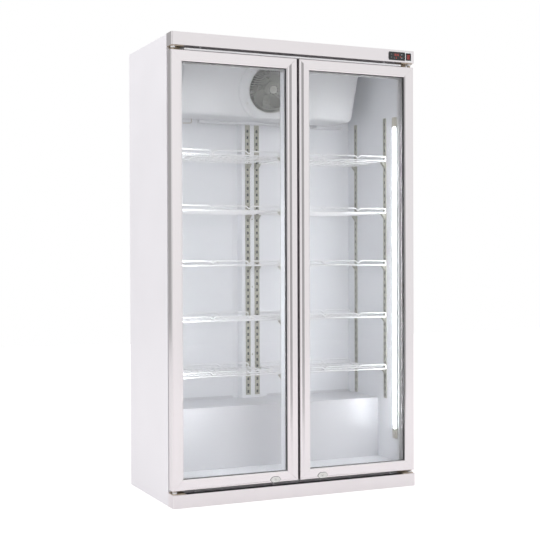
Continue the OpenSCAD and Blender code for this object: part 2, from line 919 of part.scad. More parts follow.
// A hub with pitched blades, bored for the motor's shaft
module fan(tip_r, blades) {
    hub_r = 34;
    difference() {
        union() {
            cylinder_between(-26, 2, hub_r);
            for (i = [0:blades - 1])
                rotate([0, 0, i * 360 / blades]) translate([hub_r - 3, 0, -12])
                    rotate([28, 0, 0]) translate([0, -24, -1])
                        cube([tip_r - hub_r + 1, 48, 2]);
        }
        cylinder_between(-27, 5, shaft_r + run);
    }
}

module evaporator_fan() {
    color([0.30, 0.31, 0.33]) at_fan() fan(fan_tip_r, 5);
}

// Plates on tubes: a finned coil between two corners
module finned_coil(x, y, z, fins, rows, columns) {
    plate = 1.2;
    tube = 5;
    for (i = [0:fins - 1])
        let (p = x[0] + (x[1] - x[0] - plate) * i / (fins - 1))
            block([p, p + plate], y, z);
    for (r = [1:rows]) for (c = [1:columns])
        translate([x[0] - coil_stub, y[0] + (y[1] - y[0]) * c / (columns + 1),
                   z[0] + (z[1] - z[0]) * r / (rows + 1)])
            rotate([0, 90, 0]) cylinder(r = tube, h = x[1] - x[0] + 2 * coil_stub, $fn = 24);
}

module evaporator_coil() {
    color([0.72, 0.73, 0.75])
    finned_coil(coil_x, coil_y, coil_z, 21, 3, 2);
}

// The tray that catches the coil's water, under the back of the cover
module drip_tray() {
    x0 = -288;
    x1 = 312;
    box_x = [338, 480];
    y0 = behind(430);
    y1 = inner_y - post_depth - pilaster_d;
    z0 = cover_z - 20;
    z1 = cover_z - 8;
    color([0.90, 0.91, 0.92]) {
        difference() {
            block([x0, x1], [y0, y1], [z0, z1]);
            block([x0 + sheet, x1 - sheet], [y0 + sheet, y1 - sheet], [z0 + sheet, z1 + 1]);
        }
        block(box_x, [y0, inner_y], [z0, z1]);
    }
}

// ---- machine bay ----

module compressor() {
    shell_r = 84;
    foot = 22;
    top = compressor_h - foot;
    color([0.10, 0.10, 0.11]) translate([compressor_x, compressor_y, sheet]) {
        block([-100, 100], [-75, 75], [foot - 4, foot]);
        for (x = [-84, 84]) for (y = [-58, 58])
            translate([x, y, 0]) cylinder(r = 12, h = foot - 4);
        translate([0, 0, foot]) rotate_extrude($fn = 72) polygon(concat(
            [[0, 0]], arc(shell_r - 26, 26, 26, 270, 360), arc(shell_r - 50, top - 50, 50, 0, 90),
            [[0, top]]));
    }
}

module condenser() {
    color([0.16, 0.16, 0.17])
    finned_coil(condenser_x, condenser_y, condenser_z, 16, 5, 2);
}

// Puts its children on the bay fan's axis, with +Z to the front
module at_bay_fan() {
    translate([bay_fan_x, bay_fan_y, bay_fan_z]) rotate([90, 0, 0]) children();
}

module condenser_fan_motor() {
    foot_half = 20;
    color([0.22, 0.22, 0.24]) at_bay_fan() rotate([180, 0, 0]) {
        fan_motor(motor_r, 46, 70);
        block([-foot_half, foot_half], [motor_r - 8, bay_fan_z - sheet],
              [motor_z - 22, motor_z - 16]);
    }
}

module condenser_fan() {
    color([0.35, 0.36, 0.38]) at_bay_fan() rotate([180, 0, 0]) fan(105, 5);
}

// A pipe through a list of points, with a ball at each bend
module pipe(points) {
    for (i = [0:len(points) - 2])
        let (a = points[i], d = points[i + 1] - points[i], l = norm(d))
            translate(a) rotate([0, acos(d[2] / l), atan2(d[1], d[0])])
                cylinder(r = pipe_r, h = l, $fn = 24);
    for (i = [1:len(points) - 2])
        translate(points[i]) sphere(r = pipe_r, $fn = 24);
}

// Discharge pipe to the condenser, and the line that rises in the back wall
module refrigerant_pipes() {
    outlet_x = compressor_x - 30;
    y = condenser_y[0] + (condenser_y[1] - condenser_y[0]) / 3;
    row = (condenser_z[1] - condenser_z[0]) / 6;
    high = condenser_z[1] - row;
    low = condenser_z[0] + row;
    coil_end = coil_y[0] + (coil_y[1] - coil_y[0]) * 2 / 3;
    color([0.72, 0.45, 0.30]) {
        pipe([[outlet_x, compressor_y, sheet + compressor_h], [outlet_x, compressor_y, high],
              [outlet_x, y, high], [condenser_x[1] + coil_stub, y, high]]);
        pipe([[condenser_x[0] - coil_stub, y, low], [riser_x, y, low],
              [riser_x, riser_y, low], [riser_x, riser_y, riser_top],
              [riser_x, coil_end, riser_top], [coil_x[0] - coil_stub, coil_end, riser_top]]);
    }
}

// The louvred cover of the machine bay
module rear_grille() {
    x = half_w - skin;
    slots = 13;
    slot_w = 150;
    color([0.20, 0.20, 0.21]) difference() {
        along_y(back_y - skin, back_y) difference() {
            translate([-x, base_h]) square([2 * x, grille_top - base_h]);
            for (column = [-2:2]) for (row = [0:slots - 1])
                translate([column * 200 - slot_w / 2, base_h + 45 + row * 18])
                    square([slot_w, 7]);
        }
        translate([gland_x, back_y - 5, gland_z]) rotate([-90, 0, 0])
            cylinder(r = gland_r + joint_gap, h = 10);
    }
}

// The bushing that the supply lead passes through
module cable_gland() {
    color([0.06, 0.06, 0.06]) translate([gland_x, back_y, gland_z]) rotate([90, 0, 0])
        difference() {
            union() {
                cylinder(r = gland_r, h = 16);
                translate([0, 0, skin]) cylinder(r = gland_r + 4, h = 4);
            }
            translate([0, 0, -1]) cylinder(r = cord_r, h = 18);
        }
}

side_panel_left();
side_panel_right();
back_panel();
top_panel();
base_pan();
foam_insulation();
inner_liner();
compressor_housing();
door_surround();
centre_mullion();
top_fascia();
kick_plate();
controller_case();
switch_bezel();
hinge_brackets();
evaporator_cover();
fan_shroud();
fan_guard();
evaporator_fan_motor();
evaporator_coil();
drip_tray();
rear_post();
shelf_pilasters();
shelf_clips();
shelves_level_1();
shelves_level_2();
shelves_level_3();
shelves_level_4();
shelves_level_5();
led_lamps();
led_holders();
compressor();
condenser();
condenser_fan_motor();
refrigerant_pipes();
rear_grille();
cable_gland();
evaporator_fan();
condenser_fan();
power_rocker();
button_up();
button_down();
door_left_top_rail();
door_left_bottom_rail();
door_left_hinge_stile();
door_left_handle_stile();
door_left_glass();
door_left_spacer();
door_left_gasket();
lock_plate_left();
lock_barrel_left();
door_right_top_rail();
door_right_bottom_rail();
door_right_hinge_stile();
door_right_handle_stile();
door_right_glass();
door_right_spacer();
door_right_gasket();
lock_plate_right();
lock_barrel_right();
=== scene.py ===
"""The looks of a two-door glass merchandiser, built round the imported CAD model.

Metres, +Z up, doors facing -Y.
"""

import json
import math

import bmesh
import bpy
from mathutils import Matrix, Vector

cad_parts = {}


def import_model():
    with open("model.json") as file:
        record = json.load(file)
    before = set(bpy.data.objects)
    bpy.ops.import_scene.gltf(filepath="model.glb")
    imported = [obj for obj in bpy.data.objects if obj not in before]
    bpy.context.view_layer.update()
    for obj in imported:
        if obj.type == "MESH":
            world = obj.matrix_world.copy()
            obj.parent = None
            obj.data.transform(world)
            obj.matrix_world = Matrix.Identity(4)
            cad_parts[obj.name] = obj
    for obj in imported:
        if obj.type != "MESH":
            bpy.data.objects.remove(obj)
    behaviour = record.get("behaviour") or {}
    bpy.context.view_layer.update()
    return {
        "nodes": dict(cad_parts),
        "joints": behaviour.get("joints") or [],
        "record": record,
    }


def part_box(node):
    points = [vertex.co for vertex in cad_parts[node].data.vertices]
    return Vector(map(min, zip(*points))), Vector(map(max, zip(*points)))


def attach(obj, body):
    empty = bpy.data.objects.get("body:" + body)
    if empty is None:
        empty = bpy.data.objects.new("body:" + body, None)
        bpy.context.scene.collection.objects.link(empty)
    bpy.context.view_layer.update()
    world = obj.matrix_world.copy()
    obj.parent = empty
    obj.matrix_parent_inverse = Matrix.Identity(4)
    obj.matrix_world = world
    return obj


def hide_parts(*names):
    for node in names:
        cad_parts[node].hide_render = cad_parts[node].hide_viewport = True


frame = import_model()
nodes = frame["nodes"]
joints = {joint["name"]: joint for joint in frame["joints"]}
MM = 0.001
SIDES = (-1, 1)        # the left door's side and the right door's side


# ---- materials ----


class Look:
    """A Principled material whose colour, roughness and relief come from noise in the piece's own space."""

    def __init__(self, name, colour, roughness, metallic=0.0):
        self.material = bpy.data.materials.new(name)
        self.material.use_nodes = True
        self.nodes = self.material.node_tree.nodes
        self.links = self.material.node_tree.links
        self.shader = self.nodes["Principled BSDF"]
        self.colour = colour
        self.set("Base Color", (*colour, 1))
        self.set("Roughness", roughness)
        self.set("Metallic", metallic)
        self.coords = self.nodes.new("ShaderNodeTexCoord").outputs["Object"]
        self.normal = None

    def set(self, socket, value):
        self.shader.inputs[socket].default_value = value
        return self

    def noise(self, scale, detail=2.0, stretch=(1, 1, 1), roughness=0.5):
        mapping = self.nodes.new("ShaderNodeMapping")
        mapping.inputs["Scale"].default_value = stretch
        self.links.new(self.coords, mapping.inputs["Vector"])
        texture = self.nodes.new("ShaderNodeTexNoise")
        texture.inputs["Scale"].default_value = scale
        texture.inputs["Detail"].default_value = detail
        texture.inputs["Roughness"].default_value = roughness
        self.links.new(mapping.outputs["Vector"], texture.inputs["Vector"])
        return texture.outputs["Fac"]

    def spread(self, factor, low, high, start=0.3, end=0.7):
        """Maps a factor from start..end to low..high."""
        ranged = self.nodes.new("ShaderNodeMapRange")
        for socket, value in (("From Min", start), ("From Max", end), ("To Min", low), ("To Max", high)):
            ranged.inputs[socket].default_value = value
        self.links.new(factor, ranged.inputs["Value"])
        return ranged.outputs["Result"]

    def tint(self, factor, other, start=0.3, end=0.7):
        """Mixes the colour so far with another one where the factor is high."""
        mix = self.nodes.new("ShaderNodeMix")
        mix.data_type = "RGBA"
        self.links.new(self.spread(factor, 0, 1, start, end), mix.inputs["Factor"])
        socket = self.shader.inputs["Base Color"]
        if socket.is_linked:
            self.links.new(socket.links[0].from_socket, mix.inputs["A"])
        else:
            mix.inputs["A"].default_value = socket.default_value
        mix.inputs["B"].default_value = (*other, 1)
        self.links.new(mix.outputs["Result"], socket)
        return self

    def vary(self, share, scale, stretch=(1, 1, 1)):
        """Makes the colour a little darker and lighter in broad patches."""
        darker = tuple(c * (1 - share) for c in self.colour)
        return self.tint(self.noise(scale, 3, stretch), darker)

    def polish(self, low, high, scale, stretch=(1, 1, 1)):
        """Varies the roughness between two values."""
        result = self.spread(self.noise(scale, 3, stretch), low, high)
        self.links.new(result, self.shader.inputs["Roughness"])
        return self

    def relief(self, factor, strength, depth):
        """Adds a bump; each call stacks on the last."""
        bump = self.nodes.new("ShaderNodeBump")
        bump.inputs["Strength"].default_value = strength
        bump.inputs["Distance"].default_value = depth
        self.links.new(factor, bump.inputs["Height"])
        if self.normal:
            self.links.new(self.normal, bump.inputs["Normal"])
        self.normal = bump.outputs["Normal"]
        self.links.new(self.normal, self.shader.inputs["Normal"])
        return self

    def edges(self, other, radius, amount=0.5):
        """Tints the colour along worn edges, found by how far a rounded normal leans from the true one."""
        rounded = self.nodes.new("ShaderNodeBevel")
        rounded.samples = 4
        rounded.inputs["Radius"].default_value = radius
        geometry = self.nodes.new("ShaderNodeNewGeometry")
        dot = self.nodes.new("ShaderNodeVectorMath")
        dot.operation = "DOT_PRODUCT"
        self.links.new(rounded.outputs["Normal"], dot.inputs[0])
        self.links.new(geometry.outputs["True Normal"], dot.inputs[1])
        worn = self.spread(dot.outputs["Value"], amount, 0, 0.75, 0.97)
        broken = self.nodes.new("ShaderNodeMath")
        broken.operation = "MULTIPLY"
        self.links.new(worn, broken.inputs[0])
        self.links.new(self.spread(self.noise(90, 4), 0, 1, 0.4, 0.6), broken.inputs[1])
        return self.tint(broken.outputs["Value"], other, 0, 1)


def painted(name, colour, roughness=0.4, coat=0.25, peel=0.05):
    """Sprayed paint on sheet: a faint orange peel, and soft smudges in the gloss."""
    look = Look(name, colour, roughness)
    look.set("Coat Weight", coat).set("Coat Roughness", 0.25)
    look.vary(0.025, 2.5).polish(roughness - 0.06, roughness + 0.08, 6)
    return look.relief(look.noise(420, 2), peel, 0.3 * MM)


def moulded(name, colour, roughness=0.42):
    """Injection-moulded plastic with a fine spark-eroded texture."""
    look = Look(name, colour, roughness)
    look.vary(0.04, 9).polish(roughness - 0.07, roughness + 0.08, 22)
    return look.relief(look.noise(1500, 2), 0.12, 0.12 * MM)


def brushed(name, colour, roughness, grain=(1, 1, 70), tone=0.05, depth=0.03):
    """Metal with a drawn grain: streaks in the colour, the gloss and the relief."""
    look = Look(name, colour, roughness, 1.0)
    look.tint(look.noise(11, 4, grain, 0.6), tuple(c * (1 - tone) for c in colour))
    look.tint(look.noise(3, 2), tuple(c * (1 - tone / 2) for c in colour))
    look.polish(roughness - 0.03, roughness + 0.05, 12, grain)
    return look.relief(look.noise(26, 3, grain), 0.10, depth * MM)


def zinc_plated(name, colour, roughness=0.38):
    """Bright zinc with cloudy patches and a few dull spots."""
    look = Look(name, colour, roughness, 1.0)
    look.tint(look.noise(45, 4), tuple(c * 0.72 for c in colour))
    look.polish(roughness - 0.1, roughness + 0.14, 70)
    return look.relief(look.noise(600, 2), 0.15, 0.08 * MM)


def galvanised(name):
    """Hot-dip sheet: the crystals are cells of slightly different tone."""
    look = Look(name, (0.60, 0.61, 0.63), 0.42, 1.0)
    cells = look.nodes.new("ShaderNodeTexVoronoi")
    cells.inputs["Scale"].default_value = 70
    look.links.new(look.coords, cells.inputs["Vector"])
    tone = look.nodes.new("ShaderNodeRGBToBW")
    look.links.new(cells.outputs["Color"], tone.inputs["Color"])
    look.tint(tone.outputs["Val"], (0.46, 0.47, 0.50), 0.2, 0.9)
    look.polish(0.3, 0.5, 30)
    return look.relief(look.noise(300, 2), 0.06, 0.1 * MM)


def glass_look(name, clear, gloss_share):
    """Clear glass: light passes straight through, tinted, and a share that grows at grazing angles
    is reflected."""
    material = bpy.data.materials.new(name)
    material.use_nodes = True
    tree = material.node_tree
    tree.nodes.remove(tree.nodes["Principled BSDF"])
    through = tree.nodes.new("ShaderNodeBsdfTransparent")
    through.inputs["Color"].default_value = (*clear, 1)
    shine = tree.nodes.new("ShaderNodeBsdfGlossy")
    shine.inputs["Roughness"].default_value = 0.02
    shine.inputs["Color"].default_value = (0.98, 1.0, 0.99, 1)
    facing = tree.nodes.new("ShaderNodeLayerWeight")
    facing.inputs["Blend"].default_value = 0.5
    power = tree.nodes.new("ShaderNodeMath")
    power.operation = "POWER"
    power.inputs[1].default_value = 5
    tree.links.new(facing.outputs["Facing"], power.inputs[0])
    share = tree.nodes.new("ShaderNodeMapRange")
    share.inputs["To Min"].default_value = gloss_share
    share.inputs["To Max"].default_value = 0.9
    tree.links.new(power.outputs["Value"], share.inputs["Value"])
    mix = tree.nodes.new("ShaderNodeMixShader")
    tree.links.new(share.outputs["Result"], mix.inputs["Fac"])
    tree.links.new(through.outputs["BSDF"], mix.inputs[1])
    tree.links.new(shine.outputs["BSDF"], mix.inputs[2])
    tree.links.new(mix.outputs["Shader"], tree.nodes["Material Output"].inputs["Surface"])
    return material


def glowing(name, colour, strength, base=(0.9, 0.92, 0.94)):
    """A lit plastic face."""
    look = Look(name, base, 0.35)
    look.polish(0.3, 0.42, 40)
    look.set("Emission Color", (*colour, 1)).set("Emission Strength", strength)
    return look


def rubber(name, colour):
    """Dull, slightly uneven rubber or foam."""
    look = Look(name, colour, 0.62)
    look.vary(0.15, 14).polish(0.52, 0.72, 30)
    return look.relief(look.noise(800, 3), 0.2, 0.15 * MM)


def guard_coat(name, colour):
    """Dull nickel plating over thin wire."""
    look = Look(name, colour, 0.45, 0.35)
    look.tint(look.noise(60, 3), tuple(c * 0.82 for c in colour))
    look.polish(0.38, 0.55, 80)
    return look.relief(look.noise(700, 2), 0.1, 0.05 * MM)


def wire_coat(name, colour):
    """Thick dip coating over wire: glossy, with soft sags."""
    look = Look(name, colour, 0.34)
    look.set("Coat Weight", 0.4).set("Coat Roughness", 0.28)
    look.vary(0.04, 30).polish(0.30, 0.40, 60)
    return look.relief(look.noise(160, 2), 0.18, 0.25 * MM)


def make_looks():
    """One look for each material slot, and a second one for the upright grain of the stiles."""
    frame_tone = (0.845, 0.808, 0.822)
    along, upright = (1, 60, 60), (60, 60, 1)      # how the grain is stretched
    looks = {
        "white_painted_sheet": painted("white_painted_sheet", (0.885, 0.865, 0.895), 0.42),
        "galvanised_sheet": galvanised("galvanised_sheet"),
        "foam": rubber("foam", (0.80, 0.70, 0.45)),
        "white_liner": painted("white_liner", (0.850, 0.858, 0.886), 0.36, 0.2, 0.03),
        "liner_metal": painted("liner_metal", (0.695, 0.698, 0.725), 0.36, 0.35, 0.03),
        "frame_plastic": moulded("frame_plastic", (0.74, 0.74, 0.75), 0.4),
        "satin_metal": brushed("satin_metal", frame_tone, 0.31, along, 0.008, 0.002),
        "black_plastic": moulded("black_plastic", (0.018, 0.018, 0.020), 0.36),
        "zinc_steel": zinc_plated("zinc_steel", (0.56, 0.48, 0.38)),
        "white_moulding": moulded("white_moulding", (0.765, 0.77, 0.785), 0.38),
        "guard_wire": guard_coat("guard_wire", (0.58, 0.58, 0.545)),
        "motor_paint": painted("motor_paint", (0.06, 0.065, 0.07), 0.45, 0.1),
        "fin_aluminium": brushed("fin_aluminium", (0.70, 0.71, 0.73), 0.35, (60, 1, 1)),
        "pilaster_zinc": zinc_plated("pilaster_zinc", (0.56, 0.55, 0.48), 0.45),
        "shelf_wire": wire_coat("shelf_wire", (0.88, 0.88, 0.89)),
        "lamp_diffuser": glowing("lamp_diffuser", (0.95, 0.975, 1.0), 27.0),
        "lamp_ends": moulded("lamp_ends", (0.62, 0.60, 0.53), 0.45),
        "black_paint": painted("black_paint", (0.022, 0.022, 0.024), 0.4, 0.2, 0.1),
        "copper": brushed("copper", (0.72, 0.38, 0.24), 0.32, (1, 1, 20), 0.2),
        "grille_paint": painted("grille_paint", (0.035, 0.035, 0.038), 0.45, 0.15, 0.1),
        "black_rubber": rubber("black_rubber", (0.020, 0.020, 0.021)),
        "fan_plastic": moulded("fan_plastic", (0.022, 0.023, 0.026), 0.5),
        "red_rocker": moulded("red_rocker", (0.24, 0.028, 0.026), 0.36),
        "button_grey": moulded("button_grey", (0.22, 0.225, 0.235), 0.5),
        "door_aluminium": brushed("door_aluminium", frame_tone, 0.20, along, 0.008, 0.002),
        "door_aluminium_upright": brushed("door_aluminium_upright", frame_tone, 0.20, upright, 0.008, 0.002),
        "spacer_black": moulded("spacer_black", (0.022, 0.021, 0.020), 0.45),
        "gasket_grey": rubber("gasket_grey", (0.42, 0.41, 0.42)),
        "lock_chrome": brushed("lock_chrome", (0.72, 0.72, 0.70), 0.2, (1, 1, 1), 0.06),
    }
    # Worn edges: the bare colour, how wide the wear is in millimetres, and how much of it shows
    worn_edges = {
        "black_paint": ((0.12, 0.12, 0.12), 1.2, 0.5),
        "grille_paint": ((0.16, 0.16, 0.16), 1.0, 0.5),
        "galvanised_sheet": ((0.80, 0.80, 0.82), 1.5, 0.7),
        "zinc_steel": ((0.80, 0.74, 0.64), 1.0, 0.6),
        "motor_paint": ((0.20, 0.20, 0.20), 1.0, 0.4),
    }
    for name, (worn, radius, amount) in worn_edges.items():
        looks[name].edges(worn, radius * MM, amount)
    finished = {name: look.material for name, look in looks.items()}
    finished["door_glass"] = glass_look("door_glass", (0.990, 0.990, 0.990), 0.02)
    return finished


looks = make_looks()


# ---- mesh helpers: shapes, outlines and placements ----


def tube(bm, points, radius, sides=8, closed=False):
    """Sweeps a round section along points, with flat ends unless it is closed."""
    points = [Vector(p) for p in points]
    count = len(points)

    def direction(i):
        before = points[i - 1] if i or closed else points[0]
        after = points[(i + 1) % count] if i < count - 1 or closed else points[-1]
        return (after - before).normalized()

    ahead = direction(0)
    side = ahead.orthogonal().normalized()
    angles = [2 * math.pi * k / sides for k in range(sides)]
    rings = []
    for i in range(count):
        turned = direction(i)
        side = (ahead.rotation_difference(turned) @ side).normalized()
        side = (side - side.project(turned)).normalized()
        ahead = turned
        up = ahead.cross(side)
        rings.append([bm.verts.new(points[i] + radius * (math.cos(a) * side + math.sin(a) * up))
                      for a in angles])
    spans = count if closed else count - 1
    for i in range(spans):
        a, b = rings[i], rings[(i + 1) % count]
        shift = 0
        if closed and i == spans - 1:
            shift = min(range(sides), key=lambda s: (a[0].co - b[s].co).length)
        for k in range(sides):
            bm.faces.new((a[k], a[(k + 1) % sides], b[(k + 1 + shift) % sides], b[(k + shift) % sides]))
    if not closed:
        bm.faces.new(reversed(rings[0]))
        bm.faces.new(rings[-1])


def lathe(bm, profile, place, steps=48):
    """Revolves a closed outline of (radius, height) points about the local Z axis."""
    rings = []
    for k in range(steps):
        a = 2 * math.pi * k / steps
        turned = [(r * math.cos(a), r * math.sin(a), z) for r, z in profile]
        rings.append([bm.verts.new(place @ Vector(point)) for point in turned])
    size = len(profile)
    for k in range(steps):
        a, b = rings[k], rings[(k + 1) % steps]
        for i in range(size):
            j = (i + 1) % size
            corners = [a[i], b[i], b[j], a[j]]
            if profile[i][0] == 0:
                corners.remove(b[i])
            if profile[j][0] == 0:
                corners.remove(b[j])
            if len(corners) > 2:
                bm.faces.new(corners)


def prism(bm, outline, place, depth):
    """Extrudes a closed outline of (x, y) points from local z 0 to depth."""
    near = [bm.verts.new(place @ Vector((x, y, 0))) for x, y in outline]
    far = [bm.verts.new(place @ Vector((x, y, depth))) for x, y in outline]
    bm.faces.new(reversed(near))
    bm.faces.new(far)
    for i in range(len(outline)):
        j = (i + 1) % len(outline)
        bm.faces.new((near[i], near[j], far[j], far[i]))


def slab(bm, low, high):
    """A block between two corners."""
    x0, y0, z0 = low
    x1, y1, z1 = high
    prism(bm, [(x0, y0), (x1, y0), (x1, y1), (x0, y1)], Matrix.Translation((0, 0, z0)), z1 - z0)


def arc(centre, radius, start, end, steps=6):
    """Points on an arc, with angles in degrees."""
    return [(centre[0] + radius * math.cos(math.radians(start + (end - start) * i / steps)),
             centre[1] + radius * math.sin(math.radians(start + (end - start) * i / steps)))
            for i in range(steps + 1)]


def rounded(width, height, radius, steps=5):
    """A rectangle with round corners, about the origin."""
    x, y = width / 2 - radius, height / 2 - radius
    return (arc((x, y), radius, 0, 90, steps) + arc((-x, y), radius, 90, 180, steps)
            + arc((-x, -y), radius, 180, 270, steps) + arc((x, -y), radius, 270, 360, steps))


def bend(points, radius, steps=4):
    """Rounds the inner corners of a path."""
    points = [Vector(p) for p in points]
    out = [points[0]]
    for before, corner, after in zip(points, points[1:], points[2:]):
        a = before - corner
        b = after - corner
        cut = min(radius, a.length * 0.45, b.length * 0.45)
        start = corner + a.normalized() * cut
        end = corner + b.normalized() * cut
        for i in range(steps + 1):
            t = i / steps
            out.append(start.lerp(corner, t).lerp(corner.lerp(end, t), t))
    out.append(points[-1])
    return out


def facing(point, direction, up=(0, 0, 1)):
    """A placement whose local Z is the direction and whose local Y leans to up."""
    z = Vector(direction).normalized()
    x = Vector(up).cross(z)
    if x.length < 1e-6:
        x = Vector((1, 0, 0))
    x.normalize()
    y = z.cross(x)
    turn = Matrix((x, y, z)).transposed().to_4x4()
    return Matrix.Translation(Vector(point)) @ turn


# ---- pieces and CAD nodes ----


def smooth_by_angle(mesh, degrees):
    """Shades the faces smooth, except over edges that turn more than the angle."""
    for polygon in mesh.polygons:
        polygon.use_smooth = True
    mesh.set_sharp_from_angle(angle=math.radians(degrees))


def loose(name, bm):
    """Turns a bmesh into an object in the scene."""
    mesh = bpy.data.meshes.new(name)
    bm.to_mesh(mesh)
    bm.free()
    made = bpy.data.objects.new(name, mesh)
    bpy.context.scene.collection.objects.link(made)
    return made


def piece(name, bm, slot, body="cabinet", replaces=(), bevel=0.0, smooth=32):
    """Turns a bmesh into a named piece that rides on a body and takes a slot's look."""
    bmesh.ops.remove_doubles(bm, verts=bm.verts, dist=1e-6)
    bmesh.ops.recalc_face_normals(bm, faces=bm.faces)
    made = loose(name, bm)
    smooth_by_angle(made.data, smooth)
    made.data.materials.append(looks[slot])
    if bevel:
        add_bevel(made, bevel)
    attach(made, body)
    if replaces:
        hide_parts(*replaces)
    return made


def add_bevel(made, width, angle=28):
    """Rounds the edges that turn more than the angle, in degrees, and keeps the faces flat to the eye."""
    bevel = made.modifiers.new("edges", "BEVEL")
    bevel.width = width
    bevel.segments = 2
    bevel.limit_method = "ANGLE"
    bevel.angle_limit = math.radians(angle)
    bevel.use_clamp_overlap = True
    shade = made.modifiers.new("shade", "WEIGHTED_NORMAL")
    shade.keep_sharp = False
    shade.weight = 100


def dress_cad(bevels):
    """Gives every CAD node its material, and welds and softens the edges of those in the table (mm)."""
    for part in frame["record"]["subparts"]:
        made = nodes[part["node"]]
        stile = part["node"].endswith("_stile")
        look = looks["door_aluminium_upright" if stile else part["material_slot"]]
        made.data.materials.clear()
        made.data.materials.append(look)
        width = bevels.get(part["node"])
        if width is None:
            continue
        custom = made.data.attributes.get("custom_normal")
        if custom:
            made.data.attributes.remove(custom)
        for polygon in made.data.polygons:
            polygon.use_smooth = True
        weld = made.modifiers.new("weld", "WELD")
        weld.merge_threshold = 0.01 * MM
        add_bevel(made, width * MM, 9 if stile else 28)


# ---- camera: the photograph's viewpoint ----


def make_camera():
    """Looks in from the front left, at a little over half the cabinet's height."""
    place = Vector((-2.2006, -4.8366, 1.0593))
    yaw, pitch, roll = (math.radians(a) for a in (-24.37, 0.49, -0.2))
    ahead = Vector((-math.sin(yaw) * math.cos(pitch), math.cos(yaw) * math.cos(pitch), -math.sin(pitch)))
    level = Vector((math.cos(yaw), math.sin(yaw), 0))
    above = level.cross(ahead)
    right = math.cos(roll) * level + math.sin(roll) * above
    up = math.cos(roll) * above - math.sin(roll) * level
    data = bpy.data.cameras.new("camera")
    data.sensor_width = 36
    data.lens = 75.22
    data.clip_end = 100
    camera = bpy.data.objects.new("camera", data)
    bpy.context.scene.collection.objects.link(camera)
    turn = Matrix((right, up, -ahead)).transposed().to_4x4()
    camera.matrix_world = Matrix.Translation(place) @ turn
    bpy.context.scene.camera = camera


make_camera()


# ---- shelves ----

WIRE = 3 * MM          # radius of a frame or lip wire
FINE = 1.5 * MM        # radius of a fine wire
LIP = 20 * MM          # how far a lip stands over its shelf
NOTCH_STEP = 178 * MM


def lip_path(x0, x1, y, z, notches):
    """A lip wire: up from the frame at each end, with a V at each notch."""
    half = 13 * MM         # half the width of a notch
    dip = LIP - 2 * WIRE
    top = z + LIP
    path = [(x0, y, z), (x0, y, top)]
    for x in notches:
        path += [(x - half, y, top), (x, y, top - dip), (x + half, y, top)]
    path += [(x1, y, top), (x1, y, z)]
    return bend(path, 9 * MM)


def wire_shelf(bm, x0, x1, y0, y1, z, notches):
    """One bay's shelf: a round-cornered frame, cross wires, fine wires and two lips."""
    corner = 16 * MM
    cross, fine = 4, 18        # spaces between the cross wires, and between the fine ones
    middle = ((x0 + x1) / 2, (y0 + y1) / 2)
    outline = rounded(x1 - x0, y1 - y0, corner, 4)
    tube(bm, [(middle[0] + x, middle[1] + y, z) for x, y in outline], WIRE, 8, closed=True)
    for i in range(1, cross):
        y = y0 + (y1 - y0) * i / cross
        tube(bm, [(x0, y, z), (x1, y, z)], WIRE)
    for i in range(1, fine):
        x = x0 + (x1 - x0) * i / fine
        tube(bm, [(x, y0 - WIRE, z + WIRE), (x, y1 + WIRE, z + WIRE)], FINE, 6)
    for y in (y0, y1):
        tube(bm, lip_path(x0 + corner / 2, x1 - corner / 2, y, z, notches), WIRE)


def make_shelves():
    """Two bays of wire on each level, fitted into the CAD shelf's box."""
    shifts = {-1: 10 * MM, 1: 9 * MM}      # how far each bay's notches stand off its middle
    for level in range(1, 6):
        node = f"shelves_level_{level}"
        low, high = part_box(node)
        z = low.z + WIRE
        y0, y1 = low.y + WIRE, high.y - WIRE
        inner = min(v.co.x for v in nodes[node].data.vertices if v.co.x > 0) + WIRE
        outer = high.x - WIRE
        middle = (inner + outer) / 2
        bm = bmesh.new()
        for side in SIDES:
            ends = sorted((side * inner, side * outer))
            centre = side * middle + shifts[side]
            notches = [centre - NOTCH_STEP / 2, centre + NOTCH_STEP / 2]
            wire_shelf(bm, ends[0], ends[1], y0, y1, z, notches)
        piece(f"wire_shelves_level_{level}", bm, "shelf_wire", replaces=[node], smooth=60)


# ---- evaporator ----

fan_joint = joints["cold_fan_spin"]
fan_axis = Vector(fan_joint["axis"]).normalized()
if fan_axis.y > 0:
    fan_axis = -fan_axis
fan_place = facing(fan_joint["pos_m"], fan_axis)


